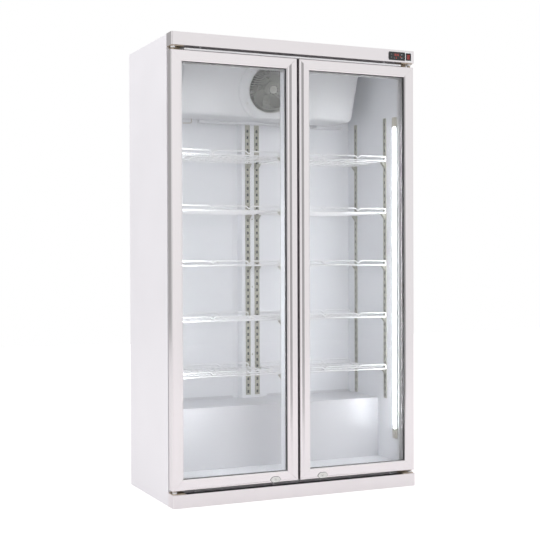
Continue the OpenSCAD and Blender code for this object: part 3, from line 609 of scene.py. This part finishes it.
def guard():
    """A domed guard: zones of bars between rings, leaning more towards the pierced hub."""
    low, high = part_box("fan_guard")
    outer = (high.x - low.x) / 2 - 1.2 * MM
    rim, dome = 7.5 * MM, 20 * MM
    bm = bmesh.new()

    def at(radius, angle, sink=0.0):
        height = rim + dome * (1 - (radius / outer) ** 3)
        return fan_place @ Vector((radius * math.cos(angle), radius * math.sin(angle), height - sink))

    def ring(radius, thick, sink=0.0):
        steps = max(24, int(radius / MM * 0.8))
        tube(bm, [at(radius, 2 * math.pi * i / steps, sink) for i in range(steps)], thick, 6, closed=True)

    # Each zone: inner and outer radius, bars, how far they lean, bar radius, rings between
    zones = ((19, 26, 10, 0.0, 2.4, 0), (26, 56, 40, 0.24, 1.4, 3), (56, 78, 52, 0.17, 1.6, 1),
             (78, 97, 56, 0.12, 1.7, 0), (97, outer / MM, 56, 0.04, 2.0, 0))
    for inner, beyond, bars, lean, thick, between in zones:
        ring(beyond * MM, 1.5 * MM)
        for i in range(1, between + 1):
            ring((inner + (beyond - inner) * i / (between + 1)) * MM, 0.9 * MM, 1.2 * MM)
        for k in range(bars):
            a = 2 * math.pi * k / bars
            middle = at((inner + beyond) / 2 * MM, a + lean / 2)
            tube(bm, [at(inner * MM, a), middle, at(beyond * MM, a + lean)], thick * MM, 5)
    top = rim + dome
    lathe(bm, [(0, top - 2 * MM), (19.5 * MM, top - 2 * MM), (19.5 * MM, top), (10 * MM, top + 0.4 * MM),
               (8.5 * MM, top + 2 * MM), (0, top + 2.4 * MM)], fan_place, 36)
    piece("evaporator_guard", bm, "guard_wire", replaces=["fan_guard"], smooth=60)


def fan_blade(bm, place, start, hub_r, tip_r, back, front):
    """One swept, twisted blade that thins towards the tip: two sheets, joined round their rim."""
    rows, columns = 8, 9
    chord = math.radians(52)
    depth = front - back

    def point(i, j, side):
        """Row i runs from hub to tip, column j across the blade, and side is its upper or under face."""
        t = i / rows
        s = j / columns - 0.5
        radius = hub_r - 1 * MM + (tip_r - hub_r) * t
        radius *= 1 - 0.10 * max(0, abs(s) - 0.35) * t * 4
        angle = start + 0.35 * t * t + chord * (1 - 0.18 * t) * s
        pitch = depth * (0.78 - 0.34 * t)
        camber = 0.10 * depth * (1 - 4 * s * s)
        thick = 1.1 * MM * (1 - 0.5 * t) * math.sqrt(max(0.02, 1 - 4 * s * s))
        z = (back + front) / 2 - pitch * s + camber + side * thick
        return bm.verts.new(place @ Vector((radius * math.cos(angle), radius * math.sin(angle), z)))

    top = [[point(i, j, 1) for j in range(columns + 1)] for i in range(rows + 1)]
    under = [[point(i, j, -1) for j in range(columns + 1)] for i in range(rows + 1)]
    for grid, flip in ((top, False), (under, True)):
        for i in range(rows):
            for j in range(columns):
                quad = (grid[i][j], grid[i][j + 1], grid[i + 1][j + 1], grid[i + 1][j])
                bm.faces.new(reversed(quad) if flip else quad)
    rim = ([(i, 0) for i in range(rows)] + [(rows, j) for j in range(columns)]
           + [(i, columns) for i in range(rows, 0, -1)] + [(0, j) for j in range(columns, 0, -1)])
    for (i, j), (k, n) in zip(rim, rim[1:] + rim[:1]):
        bm.faces.new((top[i][j], under[i][j], under[k][n], top[k][n]))


def fan_hub(bm, place, radius, back, front):
    """A spun hub with a round shoulder, a small boss and the shaft's bore."""
    bore, boss, boss_top = 4.1 * MM, 12 * MM, front + 2 * MM
    crown = 3 * MM
    shoulder = arc((radius - crown, front - crown), crown, 30, 90, 2)
    lathe(bm, [(bore, back), (radius, back), (radius, front - crown)] + shoulder
          + [(boss, front), (boss, boss_top), (bore, boss_top)], place)


def fans():
    """The evaporator's fan in the cold cabinet, and the condenser's in the machine bay."""
    hub_r, back, front = 34 * MM, -26 * MM, 2 * MM
    blades = 5
    bay_place = facing(joints["bay_fan_spin"]["pos_m"], (0, 1, 0))
    for name, place, tip_r, body in (("evaporator_fan", fan_place, 103 * MM, "cold_fan"),
                                     ("condenser_fan", bay_place, 104 * MM, "bay_fan")):
        bm = bmesh.new()
        fan_hub(bm, place, hub_r, back, front)
        for k in range(blades):
            fan_blade(bm, place, 2 * math.pi * k / blades, hub_r, tip_r, back, front)
        piece(f"{name}_blades", bm, "fan_plastic", body, [name], smooth=40)


def cover_shell():
    """The cover's outer sheet: one profile drawn along x, and pulled in towards its ends."""
    low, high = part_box("evaporator_cover")
    round_r = 16 * MM
    slope_top = Vector((0, low.y, high.z))
    slope_end = Vector((0, 0.045, low.z + 6 * MM))
    belly_end = Vector((0, 0.197, low.z))
    heel = Vector((0, high.y, low.z + 36 * MM))
    outline = bend([slope_top, slope_end, belly_end], round_r, 6) + [heel]
    turns = [math.radians(a) for a in (22, 45, 67, 90)]
    columns = [-high.x] + [-high.x + round_r * (1 - math.cos(a)) for a in turns]
    columns += [-x for x in reversed(columns)]
    pull = [round_r] + [round_r * (1 - math.sin(a)) for a in turns]
    pull += list(reversed(pull))
    heart = Vector((0, 0.140, 1.90))       # a point inside, which the ends are pulled towards
    bm = bmesh.new()
    rows = []
    for x, inward in zip(columns, pull):
        row = [p + (heart - p).normalized() * inward for p in outline]
        row[0] = slope_top + Vector((0, inward, 0))
        row[-1].y = high.y
        rows.append([bm.verts.new((x, p.y, p.z)) for p in row])
    for a, b in zip(rows, rows[1:]):
        for i in range(len(outline) - 1):
            bm.faces.new((a[i], a[i + 1], b[i + 1], b[i]))
    for row, flip in ((rows[0], False), (rows[-1], True)):
        end = [bm.verts.new((row[0].co.x, high.y, high.z))] + row
        bm.faces.new(reversed(end) if flip else end)
    bmesh.ops.recalc_face_normals(bm, faces=bm.faces)
    return loose("cover_shell", bm)


def cover():
    """The sloping cover as one moulding, with round lower corners, a round front edge and the fan's hole."""
    shell = cover_shell()
    wall = shell.modifiers.new("wall", "SOLIDIFY")
    wall.thickness = 2 * MM
    wall.offset = 1
    wall.use_even_offset = True
    hole_r, sides, reach = 112 * MM, 72, 40 * MM
    bm = bmesh.new()
    circle = arc((0, 0), hole_r, 0, 360 - 360 / sides, sides - 1)
    prism(bm, circle, fan_place @ Matrix.Translation((0, 0, -reach)), 2 * reach)
    cutter = loose("hole", bm)
    hole = shell.modifiers.new("hole", "BOOLEAN")
    hole.object = cutter
    hole.operation = "DIFFERENCE"
    hole.solver = "EXACT"
    bpy.context.view_layer.update()
    ready = bpy.data.meshes.new_from_object(shell.evaluated_get(bpy.context.evaluated_depsgraph_get()))
    for made in (shell, cutter):
        bpy.data.objects.remove(made)
    bm = bmesh.new()
    bm.from_mesh(ready)
    piece("evaporator_cover_moulding", bm, "white_moulding", replaces=["evaporator_cover"], smooth=40)


def screw_head(bm, point, direction, radius):
    """A pan-head screw with a pit in its middle and a fine cross on it."""
    place = facing(point, direction)
    rise = radius * 0.55
    turns = [math.radians(a) for a in (0, 25, 50, 70)]
    dome = [(radius * math.cos(a), rise * math.sin(a)) for a in turns]
    pit = [(radius * 0.25, rise), (radius * 0.12, rise * 0.35), (0, rise * 0.35)]
    lathe(bm, [(0, 0)] + dome + pit, place, 16)
    bar = rounded(radius * 1.05, radius * 0.22, radius * 0.1, 2)
    lift = Matrix.Translation((0, 0, rise * 0.99))
    for turn in (0, 90):
        prism(bm, bar, place @ Matrix.Rotation(math.radians(turn), 4, "Z") @ lift, radius * 0.02)


def shroud_screws():
    """Four screws on the ring round the fan's hole, which stands 11 mm over the fan's origin."""
    ring_r, ring_top = 139 * MM, 11 * MM
    bm = bmesh.new()
    for degrees in (-148, -32, 32, 148):
        angle = math.radians(degrees)
        foot = fan_place @ Vector((ring_r * math.cos(angle), ring_r * math.sin(angle), ring_top))
        screw_head(bm, foot, fan_axis, 3.2 * MM)
    piece("shroud_screws", bm, "zinc_steel", smooth=40)


# ---- controller and switch ----


def seven_segments(bm, place, digit, height):
    """One lit numeral made of bars."""
    lit = {0: "abcdef", 3: "abgcd", 5: "afgcd"}[digit]
    wide, tall, thick = height * 0.5, height, height * 0.13
    # Each bar: where it starts in x, its middle in y, its length, and whether it is upright
    bars = {"a": (0, tall, wide, False), "b": (wide, tall * 0.75, tall / 2, True),
            "c": (wide, tall * 0.25, tall / 2, True), "d": (0, 0, wide, False),
            "e": (0, tall * 0.25, tall / 2, True), "f": (0, tall * 0.75, tall / 2, True),
            "g": (0, tall / 2, wide, False)}
    slant = Matrix(((1, 0.1, 0, 0), (0, 1, 0, 0), (0, 0, 1, 0), (0, 0, 0, 1)))
    for name in lit:
        x, y, length, upright = bars[name]
        size = (thick, length * 0.86) if upright else (length * 0.86, thick)
        middle = Matrix.Translation((x if upright else wide / 2, y, 0))
        prism(bm, rounded(*size, thick * 0.35, 2), place @ slant @ middle, 0.15 * MM)


def controller():
    """What shows on the controller's black face: a window with dim numerals, lamps and key marks."""
    low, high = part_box("controller_case")
    face_recess = 0.6 * MM
    middle = ((low.x + high.x) / 2, low.y + face_recess, (low.z + high.z) / 2)
    front = facing(middle, (0, -1, 0))

    def at(x, y, sink=0.0):
        """A place on the face, in millimetres from its middle."""
        return front @ Matrix.Translation((x * MM, y * MM, -sink * MM))

    bm = bmesh.new()
    prism(bm, rounded(38 * MM, 17 * MM, 2 * MM), at(-1, 5, 0.1), 0.2 * MM)
    window = piece("controller_window", bm, "black_plastic")
    dark = Look("display_window", (0.020, 0.006, 0.006), 0.08)
    dark.polish(0.05, 0.14, 50).set("Coat Weight", 0.6)
    window.data.materials[0] = dark.material
    lit = glowing("display_red", (1.0, 0.20, 0.17), 0.22, (0.5, 0.03, 0.02))
    first, pitch, foot = -13, 8.4, 1.2
    bm = bmesh.new()
    for k, digit in enumerate((0, 3, 5)):
        seven_segments(bm, at(first + pitch * k, foot, -0.1), digit, 8 * MM)
    for x, y in ((-4, -9.5), (20, -3)):
        prism(bm, rounded(4.5 * MM, 3 * MM, 1 * MM), at(x, y), 0.2 * MM)
    display = piece("controller_display", bm, "red_rocker")
    display.data.materials[0] = lit.material
    inner, outer, tall = 1.9 * MM, 2.6 * MM, 0.25 * MM
    bm = bmesh.new()
    for x, y in ((-30, 7), (-30, -7), (-15, -10)):
        lathe(bm, [(inner, 0), (outer, 0), (outer, tall), (inner, tall)], at(x, y), 20)
        prism(bm, rounded(2.4 * MM, 0.7 * MM, 0.3 * MM, 2), at(x, y), 0.2 * MM)
    piece("controller_marks", bm, "button_grey")


def switch():
    """A light frame round the switch."""
    low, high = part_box("switch_bezel")
    front = facing(((low.x + high.x) / 2, low.y, (low.z + high.z) / 2), (0, -1, 0))
    outer = rounded(37 * MM, 42 * MM, 3 * MM)
    inner = rounded(29 * MM, 35 * MM, 1.5 * MM)
    back, outer_edge, inner_edge = -1.95 * MM, -1.1 * MM, -0.7 * MM
    bm = bmesh.new()
    levels = ((outer, back), (outer, outer_edge), (inner, inner_edge), (inner, back))
    rings = [[bm.verts.new(front @ Vector((x, y, z))) for x, y in ring] for ring, z in levels]
    for a, b in zip(rings, rings[1:] + rings[:1]):
        for k in range(len(outer)):
            j = (k + 1) % len(outer)
            bm.faces.new((a[k], a[j], b[j], b[k]))
    piece("switch_surround", bm, "frame_plastic", smooth=30)


# ---- door and cabinet trim ----

KEEPER_RISE = 7 * MM       # how far the lock keepers stand over the kick plate's edge
BRACKET = 3 * MM           # thickness of a hinge bracket
FITTING_Y = -0.262         # the bracket screws and the door stops stand on this line
kick_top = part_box("kick_plate")[1].z - KEEPER_RISE
fascia_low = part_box("top_fascia")[0].z

# The open face of the lower and the upper brackets: its height, and which way it looks
bracket_faces = ((kick_top + BRACKET, 1), (fascia_low - BRACKET, -1))


def hinge_bushes():
    """A plastic bush round each hinge pin."""
    pin_x, pin_y = joints["door_right_hinge"]["pos_m"][:2]
    bore, outer, tall, chamfer = 7.1 * MM, 10 * MM, 7 * MM, 1 * MM
    profile = [(bore, 0), (outer, 0), (outer, tall - chamfer), (outer - chamfer, tall), (bore, tall)]
    bm = bmesh.new()
    for side in SIDES:
        for z, up in bracket_faces:
            lathe(bm, profile, facing((side * pin_x, pin_y, z), (0, 0, up)), 28)
    piece("hinge_bushes", bm, "frame_plastic", smooth=40)


def bracket_screws():
    """Two screws in each hinge bracket."""
    bm = bmesh.new()
    for side in SIDES:
        for z, up in bracket_faces:
            for x in (0.548, 0.562):
                screw_head(bm, (side * x, FITTING_Y, z), (0, 0, up), 3.6 * MM)
    piece("bracket_screws", bm, "zinc_steel", smooth=40)


def door_stops():
    """A plastic stop under and over each door."""
    profile = [(0, 0), (5 * MM, 0), (5 * MM, 5 * MM), (4 * MM, 7 * MM), (0, 7.5 * MM)]
    bm = bmesh.new()
    for side in SIDES:
        for x, z, up in ((0.486, kick_top, 1), (0.457, fascia_low, -1)):
            lathe(bm, profile, facing((side * x, FITTING_Y, z), (0, 0, up)), 24)
    piece("door_stops", bm, "frame_plastic", smooth=40)


def wall_screws():
    """Screws up the rear post, and at both ends of the mullion."""
    post_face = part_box("rear_post")[0].y
    bm = bmesh.new()
    for z in (0.60, 0.93, 1.26, 1.59):
        screw_head(bm, (0, post_face, z), (0, -1, 0), 3.5 * MM)
    piece("post_screws", bm, "pilaster_zinc", smooth=40)
    mullion_face = -0.233
    bm = bmesh.new()
    for side in SIDES:
        for z in (0.115, 1.92):
            screw_head(bm, (side * 30 * MM, mullion_face, z), (0, -1, 0), 3.2 * MM)
    piece("mullion_screws", bm, "zinc_steel", smooth=40)


def drain_plug():
    """A rubber plug with a sunk top in the cabinet's floor."""
    flange, rim, well = 11 * MM, 9.5 * MM, 6 * MM
    edge, top, bottom = 1.2 * MM, 2.2 * MM, 0.6 * MM
    profile = [(0, 0), (flange, 0), (flange, edge), (rim, top), (7 * MM, top), (well, bottom), (0, bottom)]
    bm = bmesh.new()
    lathe(bm, profile, facing((-0.014, -0.185, 0.105), (0, 0, 1)), 28)
    piece("drain_plug", bm, "black_rubber", smooth=40)


def probe_hook():
    """A bent wire hook under the evaporator cover."""
    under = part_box("evaporator_cover")[0].z
    x, tip_x, y = -0.330, -0.372, 0.19
    path = [(x, y, under), (x, y, under - 22 * MM), (tip_x, y, under - 24 * MM)]
    bm = bmesh.new()
    tube(bm, bend(path, 6 * MM), 1.6 * MM)
    piece("probe_hook", bm, "zinc_steel", smooth=60)


def strips():
    """A header strip over the doors, and a black rubber sill strip under them whose black also paints the
    shade along the kick's top edge.
    """
    reach = 0.538
    header_bottom, header_top = 1.9625, 1.971
    sill_thick = 1.2 * MM
    bm = bmesh.new()
    slab(bm, (-reach, -0.283, header_bottom), (reach, -0.2332, header_top))
    piece("header_strip", bm, "frame_plastic", bevel=1.5 * MM)
    # The sill strip is a rubber strip whose black also stands in for the shade along the kick's top edge
    bm = bmesh.new()
    slab(bm, (-reach, -0.297, kick_top), (reach, -0.270, kick_top + sill_thick))
    piece("sill_shade_strip", bm, "black_rubber", bevel=0.5 * MM)


def pilaster_slot_shade():
    """Dark sheets behind the slots of the pilasters: painted shade that stands in for the shadow inside the
    slots.
    """
    low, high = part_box("shelf_pilasters")
    half, near, far = 10.4 * MM, 1.4 * MM, 2.4 * MM       # half a width, and the depths of both faces
    post_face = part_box("rear_post")[0].y
    mullion_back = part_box("centre_mullion")[1].y
    bm = bmesh.new()
    for side in SIDES:
        walls = sorted((side * (high.x - near), side * (high.x - far)))
        for y in (-0.108, 0.182):
            slab(bm, (walls[0], y - half, low.z), (walls[1], y + half, high.z))
        x = side * 24 * MM
        slab(bm, (x - half, post_face - far, 0.403), (x + half, post_face - near, 1.720))
        x = side * 27 * MM
        slab(bm, (x - half, mullion_back + near, low.z), (x + half, mullion_back + far, high.z))
    # The near-black motor paint here is painted shade, not a real backing
    piece("pilaster_slot_shade", bm, "motor_paint", bevel=0.3 * MM)


def door_trim(side):
    """Black beads inside the glass opening, except at its foot, whose black paints the shade on the
    opening's top and sides; and a dark seal under the lock plate.
    """
    sign = -1 if side == "left" else 1
    name = f"door_{side}"
    stiles = [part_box(f"{name}_{stile}_stile") for stile in ("handle", "hinge")]
    edges = sorted(abs(corner.x) for box in stiles for corner in box)
    inner, outer = edges[1], edges[2]
    bottom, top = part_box(f"{name}_bottom_rail")[1].z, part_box(f"{name}_top_rail")[0].z
    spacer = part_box(f"{name}_spacer")
    thick = 0.8 * MM
    # Painted shade: black on the top and side faces of the opening, and none at the foot, where light falls
    shade_beads = ((inner, inner + thick, bottom), (outer - thick, outer, bottom),
             (inner + thick, outer - thick, top - thick))
    bm = bmesh.new()
    for x0, x1, z0 in shade_beads:
        xs = sorted((sign * x0, sign * x1))
        slab(bm, (xs[0], spacer[0].y, z0), (xs[1], spacer[1].y, top))
    piece(f"glazing_shade_bead_{side}", bm, "spacer_black", name, bevel=0.2 * MM)
    # The seal repeats the plate's outline, two shallow arcs, and stands out a little all round
    low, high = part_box(f"lock_plate_{side}")
    margin = 1.3 * MM
    half_x, half_z = (high.x - low.x) / 2 + margin, (high.z - low.z) / 2 + margin
    radius, drop = 28 * MM + margin, 13 * MM
    steps = 12
    upper = []
    for i in range(steps + 1):
        x = half_x * (1 - 2 * i / steps)
        upper.append((x, min(half_z, math.sqrt(radius ** 2 - x ** 2) - drop)))
    outline = upper + [(-x, -y) for x, y in upper]
    bm = bmesh.new()
    front = facing(((low.x + high.x) / 2, high.y + 0.1 * MM, (low.z + high.z) / 2), (0, -1, 0))
    prism(bm, outline, front, 0.7 * MM)
    piece(f"lock_seal_{side}", bm, "black_rubber", name, bevel=0.2 * MM)


# ---- lamps ----


def lamps():
    """An aluminium channel with a bowed diffuser on each side wall."""
    low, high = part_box("led_lamps")
    length = high.z - low.z
    half = (high.y - low.y) / 2
    depth, sheet, play = 14 * MM, 1 * MM, 0.1 * MM        # play: the gap between sheet and diffuser
    lip = depth * 0.45
    section = [(0, -half), (lip, -half), (lip, sheet - half), (sheet, sheet - half),
               (sheet, half - sheet), (lip, half - sheet), (lip, half), (0, half)]
    seat, bulge, bow_half = depth * 0.4, depth * 0.58, half - sheet - play
    turns = [math.radians(90 - 180 * k / 8) for k in range(9)]
    bow = [(seat + bulge * math.cos(a), bow_half * math.sin(a)) for a in turns]
    channels, diffusers = bmesh.new(), bmesh.new()
    for side in reversed(SIDES):
        place = Matrix.Translation((side * high.x, (low.y + high.y) / 2, low.z))
        prism(channels, [(-side * x, y) for x, y in section], place, length)
        prism(diffusers, [(-side * x, y) for x, y in bow], place, length)
    piece("lamp_channels", channels, "fin_aluminium", smooth=30)
    piece("lamp_diffusers", diffusers, "lamp_diffuser", replaces=["led_lamps"], smooth=50)


# ---- stage: pale floor, soft studio light ----


def floor():
    """A pale floor just under the feet, which only the camera and reflections see as lit."""
    reach, drop = 9, 0.5 * MM
    corners = ((-reach, -reach), (reach, -reach), (reach, reach), (-reach, reach))
    bm = bmesh.new()
    bm.faces.new([bm.verts.new((x, y, -drop)) for x, y in corners])
    made = loose("studio_floor", bm)
    look = Look("studio_floor", (0.56, 0.54, 0.545), 0.7)
    look.vary(0.01, 2)
    look.set("Emission Color", (1, 1, 1, 1))
    path = look.nodes.new("ShaderNodeLightPath")
    shares = []
    for ray, strength in (("Is Camera Ray", 0.6), ("Is Glossy Ray", 0.31)):
        share = look.nodes.new("ShaderNodeMath")
        share.operation = "MULTIPLY"
        share.inputs[1].default_value = strength
        look.links.new(path.outputs[ray], share.inputs[0])
        shares.append(share.outputs["Value"])
    total = look.nodes.new("ShaderNodeMath")
    for share, socket in zip(shares, total.inputs):
        look.links.new(share, socket)
    look.links.new(total.outputs["Value"], look.shader.inputs["Emission Strength"])
    made.data.materials.append(look.material)


def flag():
    """A dark card that only reflections see: it carries the dark zone of the studio down to the floor."""
    reach, tall, middle_y = 2.6, 1.3, -0.29
    turns = [math.radians(a) for a in (-22, -17, -12, -8, -4)]
    feet = [(reach * math.sin(a), middle_y - reach * math.cos(a)) for a in turns]
    bm = bmesh.new()
    low = [bm.verts.new((x, y, 0)) for x, y in feet]
    high = [bm.verts.new((x, y, tall)) for x, y in feet]
    for k in range(len(feet) - 1):
        bm.faces.new((low[k], low[k + 1], high[k + 1], high[k]))
    made = loose("studio_flag", bm)
    look = Look("studio_flag", (0.02, 0.02, 0.02), 0.9)
    look.vary(0.1, 3)
    look.set("Emission Color", (1, 1, 1, 1)).set("Emission Strength", 0.34)
    made.data.materials.append(look.material)
    for ray in ("camera", "diffuse", "transmission", "volume_scatter", "shadow"):
        setattr(made, f"visible_{ray}", False)


def world():
    """White to the camera, even soft light for matt surfaces, and light and dark zones for glossy ones."""
    made = bpy.data.worlds.new("studio")
    bpy.context.scene.world = made
    made.use_nodes = True
    tree = made.node_tree
    tree.nodes.clear()
    output = tree.nodes.new("ShaderNodeOutputWorld")
    path = tree.nodes.new("ShaderNodeLightPath")
    coords = tree.nodes.new("ShaderNodeTexCoord")
    split = tree.nodes.new("ShaderNodeSeparateXYZ")
    tree.links.new(coords.outputs["Generated"], split.inputs["Vector"])
    ahead = tree.nodes.new("ShaderNodeMath")
    ahead.operation = "MULTIPLY"
    ahead.inputs[1].default_value = -1
    tree.links.new(split.outputs["Y"], ahead.inputs[0])
    # The angle round the cabinet: 0 is straight in front, 90 to the right
    turn = tree.nodes.new("ShaderNodeMath")
    turn.operation = "ARCTAN2"
    tree.links.new(split.outputs["X"], turn.inputs[0])
    tree.links.new(ahead.outputs["Value"], turn.inputs[1])
    share = tree.nodes.new("ShaderNodeMapRange")
    share.inputs["From Min"].default_value = -math.pi
    share.inputs["From Max"].default_value = math.pi
    tree.links.new(turn.outputs["Value"], share.inputs["Value"])
    ramp = tree.nodes.new("ShaderNodeValToRGB")
    # Each zone: that angle in degrees, and how bright the studio is there
    zones = ((-180, 0.45), (-150, 0.38), (-118, 0.85), (-62, 0.95), (-32, 0.9), (-22, 0.38), (-3, 0.38),
             (8, 1.0), (20, 1.0), (31, 0.90), (60, 0.94), (90, 0.80), (140, 0.75), (180, 0.45))
    ramp.color_ramp.elements[0].position = 0
    ramp.color_ramp.elements[1].position = 1
    for k, (angle, value) in enumerate(zones):
        place = (angle + 180) / 360
        if k == 0:
            element = ramp.color_ramp.elements[0]
        elif k == len(zones) - 1:
            element = ramp.color_ramp.elements[-1]
        else:
            element = ramp.color_ramp.elements.new(place)
        element.color = (value, value, value, 1)
    tree.links.new(share.outputs["Result"], ramp.inputs["Fac"])
    light = {}
    for name, colour in (("seen", (1, 1, 1)), ("soft", (0.985, 0.99, 1.0)), ("mirror", (1, 1, 1))):
        light[name] = tree.nodes.new("ShaderNodeBackground")
        light[name].inputs["Color"].default_value = (*colour, 1)
        light[name].inputs["Strength"].default_value = 1
    tree.links.new(ramp.outputs["Color"], light["mirror"].inputs["Color"])
    glossy = tree.nodes.new("ShaderNodeMixShader")
    tree.links.new(path.outputs["Is Glossy Ray"], glossy.inputs["Fac"])
    tree.links.new(light["soft"].outputs["Background"], glossy.inputs[1])
    tree.links.new(light["mirror"].outputs["Background"], glossy.inputs[2])
    final = tree.nodes.new("ShaderNodeMixShader")
    tree.links.new(path.outputs["Is Camera Ray"], final.inputs["Fac"])
    tree.links.new(glossy.outputs["Shader"], final.inputs[1])
    tree.links.new(light["seen"].outputs["Background"], final.inputs[2])
    tree.links.new(final.outputs["Shader"], output.inputs["Surface"])


def area_light(name, place, target, size, power):
    """A white softbox that glossy surfaces don't mirror."""
    data = bpy.data.lights.new(name, "AREA")
    data.shape = "RECTANGLE"
    data.size = size
    data.size_y = size
    data.energy = power
    made = bpy.data.objects.new(name, data)
    bpy.context.scene.collection.objects.link(made)
    aim = Vector(target) - Vector(place)
    made.matrix_world = Matrix.Translation(Vector(place)) @ aim.to_track_quat("-Z", "Y").to_matrix().to_4x4()
    made.visible_glossy = False


def lights():
    """Three soft lights: front right, above and far left."""
    area_light("key", (1.8, -5.0, 3.2), (0, 0, 1.0), 2.4, 60)
    area_light("overhead", (0, -1.0, 5.0), (0, 0, 0), 4, 25)
    area_light("side", (-5.5, -0.6, 3.6), (-0.6, 0, 1.6), 3, 62)


bpy.context.scene.view_settings.view_transform = "Standard"
make_shelves()
guard()
fans()
cover()
shroud_screws()
controller()
switch()
hinge_bushes()
bracket_screws()
door_stops()
wall_screws()
drain_plug()
probe_hook()
strips()
pilaster_slot_shade()
door_trim("left")
door_trim("right")
lamps()
dress_cad({
    "side_panel_left": 0.6, "side_panel_right": 0.6, "top_fascia": 1.2, "kick_plate": 1.2,
    "door_surround": 1.0, "centre_mullion": 1.0, "compressor_housing": 0.8, "controller_case": 0.8,
    "switch_bezel": 0.6, "hinge_brackets": 0.5, "power_rocker": 0.8, "button_up": 0.5, "button_down": 0.5,
    "led_holders": 1.5, "lock_plate_left": 0.6, "lock_plate_right": 0.6, "compressor": 1.5,
    "shelf_clips": 0.4, "rear_post": 0.4, "drip_tray": 0.6, "cable_gland": 0.5, "base_pan": 0.6,
    **{f"door_{side}_{rail}": 0.5 for side in ("left", "right")
       for rail in ("top_rail", "bottom_rail", "hinge_stile", "handle_stile")},
    **{f"door_{side}_gasket": 3.0 for side in ("left", "right")},
})
floor()
flag()
world()
lights()
